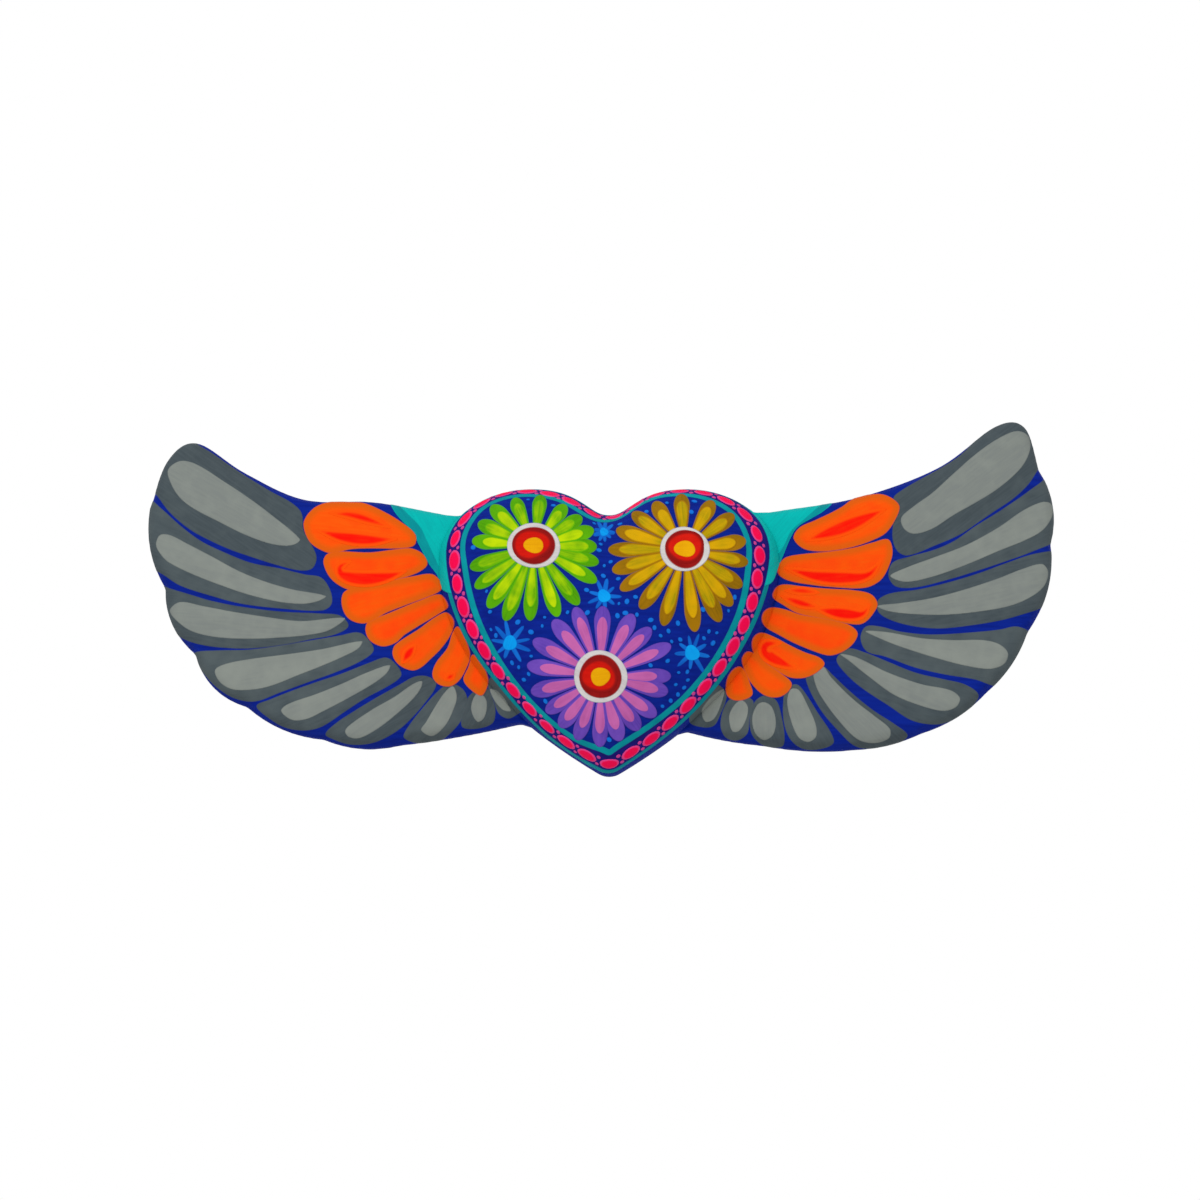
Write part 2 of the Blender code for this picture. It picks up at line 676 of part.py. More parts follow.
def main():
    clear_scene()
    blue = paint("royal blue paint", (0.011, 0.022, 0.290), 0.55)
    grey = paint("slate grey paint", (0.080, 0.103, 0.115), 0.60)
    beech = paint("beech dowel", (0.560, 0.360, 0.190), 0.70)
    zinc = paint("zinc plated steel", (0.600, 0.610, 0.620), 0.35, 1.0)

    heart = make_heart(blue)
    left_shape = (LEFT_JOINT, LEFT_LEADING_EDGE, LEFT_SCALLOPS, LEFT_GROOVES)
    right_shape = (RIGHT_JOINT, RIGHT_LEADING_EDGE, RIGHT_SCALLOPS, RIGHT_GROOVES)
    wings = {
        "left": (-1, make_wing("left_wing", -1, *left_shape, grey)),
        "right": (1, make_wing("right_wing", 1, *right_shape, grey)),
    }
    for label, (side, wing) in wings.items():
        for level, z in (("upper", UPPER_DOWEL_Z), ("lower", LOWER_DOWEL_Z)):
            place = dowel_place(side, z)
            make_dowel(f"{label}_{level}_dowel", place, beech)
            make_dowel_hole(f"{label}_{level}_hole", place, (heart, wing))
    make_hollow(heart)
    make_strap(zinc)
    make_screw(zinc)
    make_ring(zinc)


main()
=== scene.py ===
import collections
import math

import bmesh
import bpy
import numpy as np
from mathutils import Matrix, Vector
from mathutils.bvhtree import BVHTree


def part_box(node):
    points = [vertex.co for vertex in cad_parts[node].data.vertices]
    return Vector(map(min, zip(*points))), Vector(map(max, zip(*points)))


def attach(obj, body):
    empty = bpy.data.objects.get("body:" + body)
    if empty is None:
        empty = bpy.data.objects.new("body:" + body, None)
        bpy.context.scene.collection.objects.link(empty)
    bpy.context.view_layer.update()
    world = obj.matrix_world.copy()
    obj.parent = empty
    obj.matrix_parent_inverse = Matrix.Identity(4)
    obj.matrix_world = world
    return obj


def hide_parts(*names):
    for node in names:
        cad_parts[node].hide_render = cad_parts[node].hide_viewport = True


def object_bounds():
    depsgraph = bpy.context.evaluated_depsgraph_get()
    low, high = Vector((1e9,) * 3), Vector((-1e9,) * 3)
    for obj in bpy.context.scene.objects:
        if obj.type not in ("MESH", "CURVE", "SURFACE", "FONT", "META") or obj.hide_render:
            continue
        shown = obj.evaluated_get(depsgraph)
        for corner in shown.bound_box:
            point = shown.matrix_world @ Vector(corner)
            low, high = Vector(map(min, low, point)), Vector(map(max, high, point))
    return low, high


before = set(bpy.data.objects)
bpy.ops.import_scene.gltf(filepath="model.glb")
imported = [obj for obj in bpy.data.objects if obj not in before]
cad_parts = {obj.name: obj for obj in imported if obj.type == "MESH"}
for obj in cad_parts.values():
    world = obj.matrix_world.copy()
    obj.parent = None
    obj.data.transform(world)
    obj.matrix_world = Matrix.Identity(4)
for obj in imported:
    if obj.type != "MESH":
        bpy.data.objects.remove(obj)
cad_box = [list(corner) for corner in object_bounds()]


# The camera stands where the photograph was taken from: square to the ornament and a little below it, so the
# undersides show and the tops of the two lobes hide their own rim. The paint is drawn in this view's pixels.
MM = 0.001
EYE_TARGET = Vector((-3.2, -10, 12)) * MM
EYE_DISTANCE = 800 * MM
EYE_TILT = math.radians(11.5)
LENS = 68.4
SENSOR_WIDTH = 36

camera_data = bpy.data.cameras.new("camera")
camera_data.lens = LENS
camera_data.sensor_width = SENSOR_WIDTH
camera = bpy.data.objects.new("camera", camera_data)
looking = Vector((0, math.cos(EYE_TILT), math.sin(EYE_TILT)))
eye = EYE_TARGET - looking * EYE_DISTANCE
camera.location = eye
camera.rotation_euler = looking.to_track_quat("-Z", "Y").to_euler()
bpy.context.scene.collection.objects.link(camera)
bpy.context.scene.camera = camera


# The heart is one block of limewood, sawn to its outline, carved to a full cushion and sanded by hand. It is
# brushed all over with royal blue, apart from the hollow gouged in its back, which stays bare wood.
WELD = 0.001 * MM
SKIN_STEP = 0.64 * MM
SANDING_RUB = 0.5
HEART_SANDING = 30
WAVE_WIDTH = 18 * MM
HEART_WAVE = 0.25 * MM
HEART_SEED = 3.0
HOLLOW_LIP = 0.5 * MM
HOLLOW_DEPTH = 8.5 * MM
HOLLOW_ROOM = 5 * MM
HOLLOW_HEADROOM = 8 * MM
BASE_BLUE = "#082188"
BASE_BLUE_THIN = "#061b78"
BASE_BLUE_FULL = "#0b2996"
PAINT_GLOSS = 0.05
LIMEWOOD = "#d8b585"
LIMEWOOD_GRAIN = "#b48a58"
MIX_A = 6
MIX_B = 7
MIX_RESULT = 2


def linear(colour):
    """An sRGB hex colour as linear red, green, blue and alpha."""
    shares = [int(colour[i : i + 2], 16) / 255 for i in (1, 3, 5)]
    return [s / 12.92 if s <= 0.04045 else ((s + 0.055) / 1.055) ** 2.4 for s in shares] + [1]


def add(tree, kind, inputs=(), **settings):
    """Adds a node with its settings and gives its outputs. Each input, by name or number, is a value or the
    socket that feeds it."""
    made = tree.nodes.new(kind)
    for name, value in settings.items():
        setattr(made, name, value)
    for name, value in dict(inputs).items():
        if isinstance(value, bpy.types.NodeSocket):
            tree.links.new(value, made.inputs[name])
        else:
            made.inputs[name].default_value = value
    return made.outputs


def new_material(name):
    """An empty material with nodes, and its tree."""
    material = bpy.data.materials.new(name)
    material.use_nodes = True
    material.node_tree.nodes.clear()
    return material, material.node_tree


def finish_material(tree, inputs):
    """Ends a material in one Principled shader."""
    shader = add(tree, "ShaderNodeBsdfPrincipled", inputs)
    add(tree, "ShaderNodeOutputMaterial", {"Surface": shader["BSDF"]})


def base_coat():
    """Royal blue acrylic ground on sanded limewood: two thin coats, matt and deep, with soft streaks where
    the brush left less paint. Where the bare attribute is above zero the gouged wood was left unpainted."""
    material, tree = new_material("royal_blue_ground")
    place = add(tree, "ShaderNodeTexCoord")["Object"]
    streak_scale = (1 / (14.3 * MM), 1 / (2.5 * MM), 1 / (1.11 * MM))
    along = add(tree, "ShaderNodeMapping", {"Vector": place, "Scale": streak_scale})[0]
    streaks = add(tree, "ShaderNodeTexNoise", {"Vector": along, "Scale": 1, "Detail": 4})["Fac"]
    cloud_scale = 1 / (15 * MM)
    clouds = add(tree, "ShaderNodeTexNoise", {"Vector": place, "Scale": cloud_scale, "Detail": 2})["Fac"]
    streak_range = {"Value": streaks, "From Min": 0.35, "From Max": 0.65}
    streak_share = add(tree, "ShaderNodeMapRange", streak_range)[0]
    streaked = add(tree, "ShaderNodeMix", {"Factor": streak_share, MIX_A: linear(BASE_BLUE_THIN),
                                           MIX_B: linear(BASE_BLUE_FULL)}, data_type="RGBA")[MIX_RESULT]
    paint = add(tree, "ShaderNodeMix", {"Factor": clouds, MIX_A: streaked, MIX_B: linear(BASE_BLUE)},
                data_type="RGBA")[MIX_RESULT]
    ring_scale = (1 / (1.6 * MM), 1 / (9 * MM), 1 / (60 * MM))
    grain_place = add(tree, "ShaderNodeMapping", {"Vector": place, "Scale": ring_scale})[0]
    grain = add(tree, "ShaderNodeTexNoise", {"Vector": grain_place, "Scale": 1, "Detail": 5,
                                             "Distortion": 0.6})["Fac"]
    wood = add(tree, "ShaderNodeMix", {"Factor": grain, MIX_A: linear(LIMEWOOD),
                                       MIX_B: linear(LIMEWOOD_GRAIN)}, data_type="RGBA")[MIX_RESULT]
    bare = add(tree, "ShaderNodeAttribute", attribute_name="bare")["Fac"]
    bare_share = add(tree, "ShaderNodeMapRange", {"Value": bare, "From Min": 0, "From Max": 0.25})[0]
    colour = add(tree, "ShaderNodeMix", {"Factor": bare_share, MIX_A: paint, MIX_B: wood},
                 data_type="RGBA")[MIX_RESULT]
    dullness = add(tree, "ShaderNodeMapRange", {"Value": clouds, "To Min": 0.7, "To Max": 0.85})[0]
    relief = add(tree, "ShaderNodeBump", {"Height": streaks, "Strength": 0.3, "Distance": 0.05 * MM})[0]
    finish_material(tree, {"Base Color": colour, "Roughness": dullness, "Normal": relief,
                           "Specular IOR Level": PAINT_GLOSS})
    return material


def new_tree(name, inputs):
    """An empty geometry tree with one geometry in and out and these named inputs, and its input sockets."""
    tree = bpy.data.node_groups.new(name, "GeometryNodeTree")
    for label, kind in {"Geometry": "Geometry", **inputs}.items():
        tree.interface.new_socket(label, in_out="INPUT", socket_type="NodeSocket" + kind)
    tree.interface.new_socket("Geometry", in_out="OUTPUT", socket_type="NodeSocketGeometry")
    return tree, add(tree, "NodeGroupInput")


def finish_tree(tree, geometry, material):
    """Ends a tree: instances realised, faces smooth, material set."""
    realised = add(tree, "GeometryNodeRealizeInstances", {"Geometry": geometry})[0]
    smooth = add(tree, "GeometryNodeSetShadeSmooth", {"Geometry": realised})[0]
    painted = add(tree, "GeometryNodeSetMaterial", {"Geometry": smooth, "Material": material})[0]
    add(tree, "NodeGroupOutput", {"Geometry": painted})
    return tree


def hand_carving():
    """Slow waves of the knife over the front of a sanded skin, which the back and the rim don't have."""
    tree, given = new_tree("hand_carving", {"Wave width": "Float", "Wave depth": "Float", "Seed": "Float",
                                            "Finish": "Material"})
    scale = add(tree, "ShaderNodeMath", {0: 1, 1: given["Wave width"]}, operation="DIVIDE")[0]
    waves = add(tree, "ShaderNodeTexNoise", {"Vector": add(tree, "GeometryNodeInputPosition")[0],
                                             "W": given["Seed"], "Scale": scale, "Detail": 1},
                noise_dimensions="4D")["Fac"]
    normal = add(tree, "GeometryNodeInputNormal")[0]
    twice_forward = (0, -2, 0)
    front = add(tree, "ShaderNodeVectorMath", {0: normal, 1: twice_forward}, operation="DOT_PRODUCT")["Value"]
    noise_middle = 0.5
    centred = add(tree, "ShaderNodeMath", {0: waves, 1: noise_middle}, operation="SUBTRACT")[0]
    height = add(tree, "ShaderNodeMath", {0: centred, 1: given["Wave depth"]}, operation="MULTIPLY")[0]
    only_front = add(tree, "ShaderNodeMath", {0: front, 1: 0}, operation="MAXIMUM")[0]
    length = add(tree, "ShaderNodeMath", {0: height, 1: only_front}, operation="MULTIPLY")[0]
    offset = add(tree, "ShaderNodeVectorMath", {0: normal, "Scale": length}, operation="SCALE")[0]
    moved = add(tree, "GeometryNodeSetPosition", {"Geometry": given["Geometry"], "Offset": offset})[0]
    return finish_tree(tree, moved, given["Finish"])


def new_piece(name, mesh):
    """A mesh object of that name in the scene, at the origin."""
    piece = bpy.data.objects.new(name, mesh)
    bpy.context.scene.collection.objects.link(piece)
    return piece


def keep_mesh(piece):
    """Makes what a piece's modifiers give its plain mesh."""
    graph = bpy.context.evaluated_depsgraph_get()
    made = bpy.data.meshes.new_from_object(piece.evaluated_get(graph))
    piece.modifiers.clear()
    piece.data = made
    made.name = piece.name
    return piece


def grow(piece, tree, inputs):
    """Puts a geometry tree on a piece, sets its inputs by identifier, and keeps what it makes."""
    nodes = piece.modifiers.new(tree.name, "NODES")
    nodes.node_group = tree
    for item in tree.interface.items_tree:
        if item.in_out == "INPUT" and item.name in inputs:
            nodes[item.identifier] = inputs[item.name]
    return keep_mesh(piece)


def merged_mesh(name, meshes):
    """One mesh of the given ones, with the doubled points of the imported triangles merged."""
    joined = bmesh.new()
    for mesh in meshes:
        joined.from_mesh(mesh)
    bmesh.ops.remove_doubles(joined, verts=joined.verts, dist=WELD)
    made = bpy.data.meshes.new(name)
    joined.to_mesh(made)
    joined.free()
    return made


def sanded_skin(name, meshes, sanding, wave_depth, seed):
    """An even, dense skin over closed meshes, with facets and edges rubbed down and the carver's waves."""
    piece = new_piece(name, merged_mesh(name, meshes))
    skin = piece.modifiers.new("skin", "REMESH")
    skin.mode = "VOXEL"
    skin.voxel_size = SKIN_STEP
    paper = piece.modifiers.new("sanding", "SMOOTH")
    paper.factor = SANDING_RUB
    paper.iterations = sanding
    keep_mesh(piece)
    return grow(piece, carving, {"Wave width": WAVE_WIDTH, "Wave depth": wave_depth, "Seed": seed,
                                 "Finish": blue_ground})


def point_array(mesh):
    """The places of a mesh's points."""
    points = np.empty(len(mesh.vertices) * 3, np.float32)
    mesh.vertices.foreach_get("co", points)
    return points.reshape(-1, 3).astype(float)


def keep_values(mesh, label, values):
    """Keeps a number of that label on each point of a mesh."""
    kept = mesh.attributes.new(label, "FLOAT", "POINT")
    kept.data.foreach_set("value", np.asarray(values, np.float32))


blue_ground = base_coat()
carving = hand_carving()
heart_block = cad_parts["heart_body"].data
heart = sanded_skin("carved_heart", [heart_block], HEART_SANDING, HEART_WAVE, HEART_SEED)
ring_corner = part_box("hanger_ring")[1]
strap_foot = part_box("hanger_strap")[0]
heart_points = point_array(heart.data)
in_hollow = np.minimum.reduce([
    -heart_points[:, 1] - HOLLOW_LIP,
    heart_points[:, 1] + HOLLOW_DEPTH,
    ring_corner.x + HOLLOW_ROOM - abs(heart_points[:, 0]),
    ring_corner.z + HOLLOW_HEADROOM - heart_points[:, 2],
    heart_points[:, 2] - strap_foot.z + HOLLOW_ROOM,
]) / MM
keep_values(heart.data, "bare", in_hollow)
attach(heart, "ornament")
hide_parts("heart_body")


# Each wing is a limewood board, sawn to its feather ends, hollowed between the feathers and rounded over. Its
# root is glued to the heart's flank, and filler rubbed into that joint makes one painted surface of the two.
WING_SANDING = 9
WING_WAVE = 0.14 * MM
WING_SEEDS = {"left": 11.0, "right": 23.0}
FILLER_RADIUS = 0.8 * MM
FILLER_SINK = 0.5 * MM
GLUE_BACK = -1.7 * MM
JOINT_PROBE = 1.5 * MM
WEB_REACH = 5.5 * MM
WEB_ROOT = 2.5 * MM
WEB_SINK = 0.5 * MM
WEB_BACK = -1.5 * MM
WEB_FRONT = -8 * MM
EDGE_DEPTH = 9.5 * MM
EDGE_STEPS = 360
HEART_MIDDLE = Vector((0, 0, 4)) * MM
WELL_IN_FRONT = 2 * cad_box[0][1]
TO_THE_WALL = Vector((0, 1, 0))


def solid_tree(node):
    """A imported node's mesh, ready for rays."""
    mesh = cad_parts[node].data
    return BVHTree.FromPolygons([v.co for v in mesh.vertices], [p.vertices for p in mesh.polygons])


def heart_edge():
    """The heart's outline in plan, found by rays from outside, where the wall turns into the cushion."""
    solid = solid_tree("heart_body")
    found = []
    for turn in np.linspace(0, 2 * math.pi, EDGE_STEPS, endpoint=False):
        way = Vector((math.sin(turn), 0, -math.cos(turn)))
        start = HEART_MIDDLE + way * cad_box[1][0] - Vector((0, EDGE_DEPTH, 0))
        found.append(solid.ray_cast(start, -way)[0])
    return found


def joint_line(wing):
    """The heart's edge where a wing meets it, from one end of the joint to the other, on the wing's face."""
    line = []
    following = edge_line[1:] + edge_line[:1]
    for before, here, after in zip(edge_line, following, following[1:] + following[:1]):
        run = (after - before).normalized()
        outward = Vector((run.z, 0, -run.x))
        probe = here + outward * JOINT_PROBE
        probe.y = WELL_IN_FRONT
        face = wing.ray_cast(probe, TO_THE_WALL)[0]
        if face:
            line.append(Vector((here.x, face.y + FILLER_SINK, here.z)))
    return line


def filler_bead(line):
    """A bead of filler or glue along a wing's joint."""
    curve = bpy.data.curves.new("joint_filler", "CURVE")
    curve.dimensions = "3D"
    curve.bevel_depth = FILLER_RADIUS
    curve.use_fill_caps = True
    spline = curve.splines.new("POLY")
    spline.points.add(len(line) - 1)
    for point, place in zip(spline.points, line):
        point.co = (*place, 1)
    guide = bpy.data.objects.new("joint_filler", curve)
    made = bpy.data.meshes.new_from_object(guide)
    bpy.data.objects.remove(guide)
    return made


def filler_web(wing, corner):
    """Filler rubbed into the notch at one end of a joint, so the wing's edge curves into the heart's."""
    outward = 1 if corner.x > 0 else -1
    above = 1 if corner.z > HEART_MIDDLE.z else -1
    middle = (WEB_BACK + WEB_FRONT) / 2
    far = Vector((corner.x + outward * WEB_REACH, middle, above * cad_box[1][0]))
    on_wing = wing.ray_cast(far, Vector((0, 0, -above)))[0]
    beyond = [p for p in edge_line if (p - corner).xz.length > WEB_REACH and abs(p.x) < abs(corner.x)
              and (p.z > HEART_MIDDLE.z) == (above > 0) and p.x * corner.x > 0]
    on_heart = min(beyond, key=lambda p: (p - corner).xz.length)
    apex = Vector((corner.x, corner.z))
    ends = [Vector((p.x, p.z)) for p in (on_wing, on_heart)]
    halfway = (ends[0] + ends[1] + 2 * apex) / 4
    inner = Vector((0, -above))
    sunk = [end + inner * WEB_SINK for end in ends]
    ring = [ends[0] + inner * WEB_ROOT, sunk[0], halfway, sunk[1], ends[1] + inner * WEB_ROOT]
    count = len(ring)
    points = [(p.x, y, p.y) for y in (WEB_BACK, WEB_FRONT) for p in ring]
    faces = [[i, (i + 1) % count, (i + 1) % count + count, i + count] for i in range(count)]
    faces += [list(range(count))[::-1], [count + i for i in range(count)]]
    mesh = bpy.data.meshes.new("filler_web")
    mesh.from_pydata(points, [], faces)
    closed = bmesh.new()
    closed.from_mesh(mesh)
    bmesh.ops.recalc_face_normals(closed, faces=closed.faces)
    closed.to_mesh(mesh)
    closed.free()
    return mesh


edge_line = heart_edge()
wings = {}
for side, seed in WING_SEEDS.items():
    board = side + "_wing"
    wing_solid = solid_tree(board)
    joint = joint_line(wing_solid)
    glue = [Vector((point.x, GLUE_BACK, point.z)) for point in joint]
    webs = [filler_web(wing_solid, end) for end in (joint[0], joint[-1])]
    meshes = [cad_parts[board].data, filler_bead(joint), filler_bead(glue)] + webs
    wings[side] = sanded_skin("carved_" + board, meshes, WING_SANDING, WING_WAVE, seed)
    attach(wings[side], "ornament")
    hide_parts(board)


# Two fluted beech dowels pin each wing to the heart. They are bought in, glued into blind holes and hidden,
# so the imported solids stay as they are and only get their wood.
BEECH = "#cf9f6d"
BEECH_FLECK = "#9d6a3c"


def beech_wood():
    """Steamed beech, turned and fluted: pinkish brown and dull, with the short dark flecks of its rays."""
    material, tree = new_material("steamed_beech")
    place = add(tree, "ShaderNodeTexCoord")["Object"]
    fleck_scale = (1 / (3 * MM), 1 / (0.4 * MM), 1 / (0.4 * MM))
    stretched = add(tree, "ShaderNodeMapping", {"Vector": place, "Scale": fleck_scale})[0]
    flecks = add(tree, "ShaderNodeTexNoise", {"Vector": stretched, "Scale": 1, "Detail": 3})["Fac"]
    share = add(tree, "ShaderNodeMapRange", {"Value": flecks, "From Min": 0.5, "From Max": 0.75})[0]
    colour = add(tree, "ShaderNodeMix", {"Factor": share, MIX_A: linear(BEECH), MIX_B: linear(BEECH_FLECK)},
                 data_type="RGBA")[MIX_RESULT]
    relief = add(tree, "ShaderNodeBump", {"Height": flecks, "Strength": 0.4, "Distance": 0.05 * MM})[0]
    finish_material(tree, {"Base Color": colour, "Roughness": 0.7, "Normal": relief})
    return material


dowel_wood = beech_wood()
for node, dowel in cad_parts.items():
    if node.endswith("_dowel"):
        for holder in dowel.material_slots:
            holder.material = dowel_wood


# The hanger sits in the hollow: a folded steel strap held by one screw, with a bent wire ring that swings on
# the fold and takes the nail. All three are zinc plated.
ZINC = "#b9bec4"
ZINC_DULL = "#8f969e"
STRAP_BEVEL = 0.12 * MM
SCREW_BEVEL = 0.06 * MM
SMOOTH_TURN = math.radians(35)


def zinc_plate():
    """Bright zinc plate on pressed steel: bluish grey metal with soft cloudy spangles and a rolled grain."""
    material, tree = new_material("zinc_plated_steel")
    place = add(tree, "ShaderNodeTexCoord")["Object"]
    spangle_scale = 1 / (2.2 * MM)
    spangles = add(tree, "ShaderNodeTexVoronoi", {"Vector": place, "Scale": spangle_scale})["Distance"]
    rolled_scale = (1 / (0.08 * MM), 1 / (0.4 * MM), 1 / (3 * MM))
    rolling = add(tree, "ShaderNodeMapping", {"Vector": place, "Scale": rolled_scale})[0]
    lines = add(tree, "ShaderNodeTexNoise", {"Vector": rolling, "Scale": 1, "Detail": 2})["Fac"]
    colour = add(tree, "ShaderNodeMix", {"Factor": spangles, MIX_A: linear(ZINC), MIX_B: linear(ZINC_DULL)},
                 data_type="RGBA")[MIX_RESULT]
    dullness = add(tree, "ShaderNodeMapRange", {"Value": lines, "To Min": 0.24, "To Max": 0.44})[0]
    relief = add(tree, "ShaderNodeBump", {"Height": lines, "Strength": 0.2, "Distance": 0.02 * MM})[0]
    finish_material(tree, {"Base Color": colour, "Metallic": 1, "Roughness": dullness, "Normal": relief})
    return material


def plated_piece(name, node, body, bevel):
    """A packed hanger part with its edges broken and its round faces smooth."""
    mesh = merged_mesh(name, [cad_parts[node].data])
    mesh.materials.clear()
    mesh.materials.append(zinc)
    piece = new_piece(name, mesh)
    if bevel:
        rounding = piece.modifiers.new("broken_edges", "BEVEL")
        rounding.width = bevel
        rounding.segments = 2
        rounding.limit_method = "ANGLE"
        rounding.angle_limit = SMOOTH_TURN
        keep_mesh(piece)
    piece.data.shade_smooth()
    piece.data.set_sharp_from_angle(angle=SMOOTH_TURN)
    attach(piece, body)
    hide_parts(node)


zinc = zinc_plate()
plated_piece("zinc_strap", "hanger_strap", "ornament", STRAP_BEVEL)
plated_piece("zinc_screw", "hanger_screw", "ornament", SCREW_BEVEL)
plated_piece("zinc_ring", "hanger_ring", "ring", 0)


# The long feathers are brushed on each wing in two greys: a dark one out to the rounded rim, with the blue
# ground left as a line between neighbours, and over it one long light stroke that tapers to the root. Marks
# are drawn in pixels of the camera's frame, and depths and patterns inside a mark are in millimetres.
FRAME_PIXELS = 1200
LEFT_DARK_FEATHERS = [
    [(190, 436), (198, 445), (211, 453), (231, 467), (251, 480), (271, 492), (291, 503), (301, 513),
     (303, 530), (309, 541), (316, 557), (312, 568), (300, 570), (275, 564), (250, 556), (230, 549),
     (210, 540), (190, 529), (170, 512), (157, 495), (145, 482), (158, 450), (175, 436)],
    [(150, 501), (160, 508), (180, 526), (200, 541), (220, 551), (250, 563), (280, 569), (305, 575),
     (321, 578), (330, 591), (331, 604), (322, 610), (280, 608), (240, 603), (210, 595), (180, 585),
     (163, 574), (148, 565), (136, 540), (137, 512)],
    [(155, 584), (170, 589), (190, 595), (210, 601), (240, 607), (280, 612), (320, 614), (340, 616),
     (348, 626), (335, 634), (310, 639), (285, 644), (250, 648), (220, 647), (200, 644), (185, 639),
     (165, 626), (154, 604)],
    [(195, 653), (215, 651), (250, 650), (280, 646), (310, 641), (340, 636), (359, 633), (370, 642),
     (373, 651), (360, 661), (335, 672), (310, 681), (280, 692), (255, 701), (235, 698), (217, 687),
     (203, 672), (196, 660)],
    [(257, 706), (270, 700), (290, 692), (315, 683), (342, 674), (370, 663), (385, 658), (393, 662),
     (401, 674), (394, 682), (365, 698), (345, 711), (322, 726), (305, 730), (285, 727), (268, 717)],
    [(326, 734), (337, 723), (352, 713), (375, 699), (400, 685), (415, 677), (428, 677), (436, 684),
     (425, 702), (405, 724), (388, 736), (370, 743), (350, 744), (334, 739)],
    [(404, 736), (410, 725), (425, 706), (440, 690), (450, 684), (462, 689), (467, 700), (462, 718),
     (452, 731), (440, 740), (420, 743), (408, 740)],
    [(463, 727), (462, 718), (466, 702), (474, 692), (486, 688), (493, 700), (495, 713), (492, 723),
     (478, 728)],
    [(488, 683), (494, 700), (499, 713), (508, 718), (517, 714), (526, 706), (510, 690), (495, 676)],
]
LEFT_LIGHT_FEATHERS = [
    [(168, 470), (180, 461), (196, 464), (225, 482), (249, 498), (273, 516), (300, 539), (296, 544),
     (285, 546), (267, 543), (243, 534), (219, 522), (194, 509), (180, 498), (171, 484)],
    [(156, 544), (160, 535), (170, 535), (188, 544), (213, 557), (237, 570), (261, 580), (291, 589),
     (326, 596), (319, 601), (303, 604), (279, 602), (249, 595), (225, 587), (194, 575), (168, 562),
     (159, 552)],
    [(170, 610), (180, 602), (203, 606), (235, 612), (267, 617), (301, 621), (345, 618), (330, 630),
     (309, 635), (277, 638), (246, 639), (214, 637), (191, 631), (176, 620)],
    [(215, 670), (225, 664), (250, 659), (288, 654), (322, 649), (362, 641), (359, 648), (347, 655),
     (322, 666), (299, 675), (271, 686), (250, 690), (231, 689), (219, 681)],
    [(281, 711), (288, 704), (316, 694), (341, 684), (368, 672), (390, 665), (387, 673), (373, 684),
     (347, 699), (324, 711), (307, 719), (292, 720)],
    [(345, 731), (351, 724), (373, 709), (394, 697), (413, 684), (422, 681), (421, 688), (413, 699),
     (398, 713), (379, 728), (360, 738), (349, 737)],
    [(421, 730), (426, 722), (436, 705), (445, 692), (453, 686), (457, 697), (453, 711), (445, 726),
     (432, 736)],
    [(479, 692), (486, 699), (487, 708), (484, 718), (478, 722), (473, 716), (471, 707), (474, 697)],
    [(490, 689), (498, 692), (507, 703), (511, 711), (503, 710), (494, 700)],
]
RIGHT_DARK_FEATHERS = [
    [(894, 498), (903, 490), (920, 480), (940, 469), (960, 456), (978, 438), (990, 424), (1005, 411),
     (1024, 411), (1041, 428), (1048, 452), (1039, 467), (1028, 484), (1012, 499), (994, 511), (978, 522),
     (960, 534), (935, 545), (908, 555), (898, 551), (893, 538), (894, 518)],
    [(1056, 474), (1038, 485), (1020, 498), (996, 514), (975, 527), (955, 541), (935, 550), (910, 557),
     (893, 563), (889, 576), (896, 586), (915, 587), (945, 580), (975, 571), (1005, 561), (1035, 550),
     (1058, 538), (1066, 510)],
    [(1060, 553), (1036, 554), (1008, 563), (978, 574), (948, 583), (918, 590), (890, 594), (878, 601),
     (879, 612), (892, 620), (915, 626), (940, 628), (970, 625), (1000, 620), (1022, 614), (1044, 606),
     (1062, 590), (1066, 570)],
    [(861, 638), (866, 627), (880, 627), (900, 632), (930, 635), (970, 633), (1000, 630), (1017, 627),
     (1030, 634), (1026, 656), (1012, 680), (998, 686), (975, 679), (945, 674), (915, 667), (885, 656),
     (867, 651)],
    [(837, 659), (848, 649), (865, 653), (885, 661), (915, 673), (945, 680), (965, 685), (978, 695),
     (970, 708), (952, 720), (935, 724), (912, 720), (890, 706), (860, 686), (843, 670)],
    [(806, 678), (813, 670), (823, 667), (832, 675), (850, 692), (872, 710), (895, 725), (907, 735),
     (900, 742), (875, 748), (856, 746), (840, 732), (820, 708)],
    [(784, 698), (787, 688), (797, 685), (806, 695), (818, 714), (830, 732), (833, 743), (818, 749),
     (802, 748), (790, 738), (784, 720)],
    [(752, 708), (758, 699), (766, 696), (776, 701), (781, 716), (784, 735), (782, 746), (766, 746),
     (754, 737), (750, 724)],
    [(724, 709), (731, 699), (745, 697), (753, 702), (749, 719), (747, 733), (737, 740), (726, 737),
     (721, 726)],
    [(712, 684), (724, 690), (726, 698), (720, 714), (714, 725), (704, 727), (690, 722), (694, 708)],
]
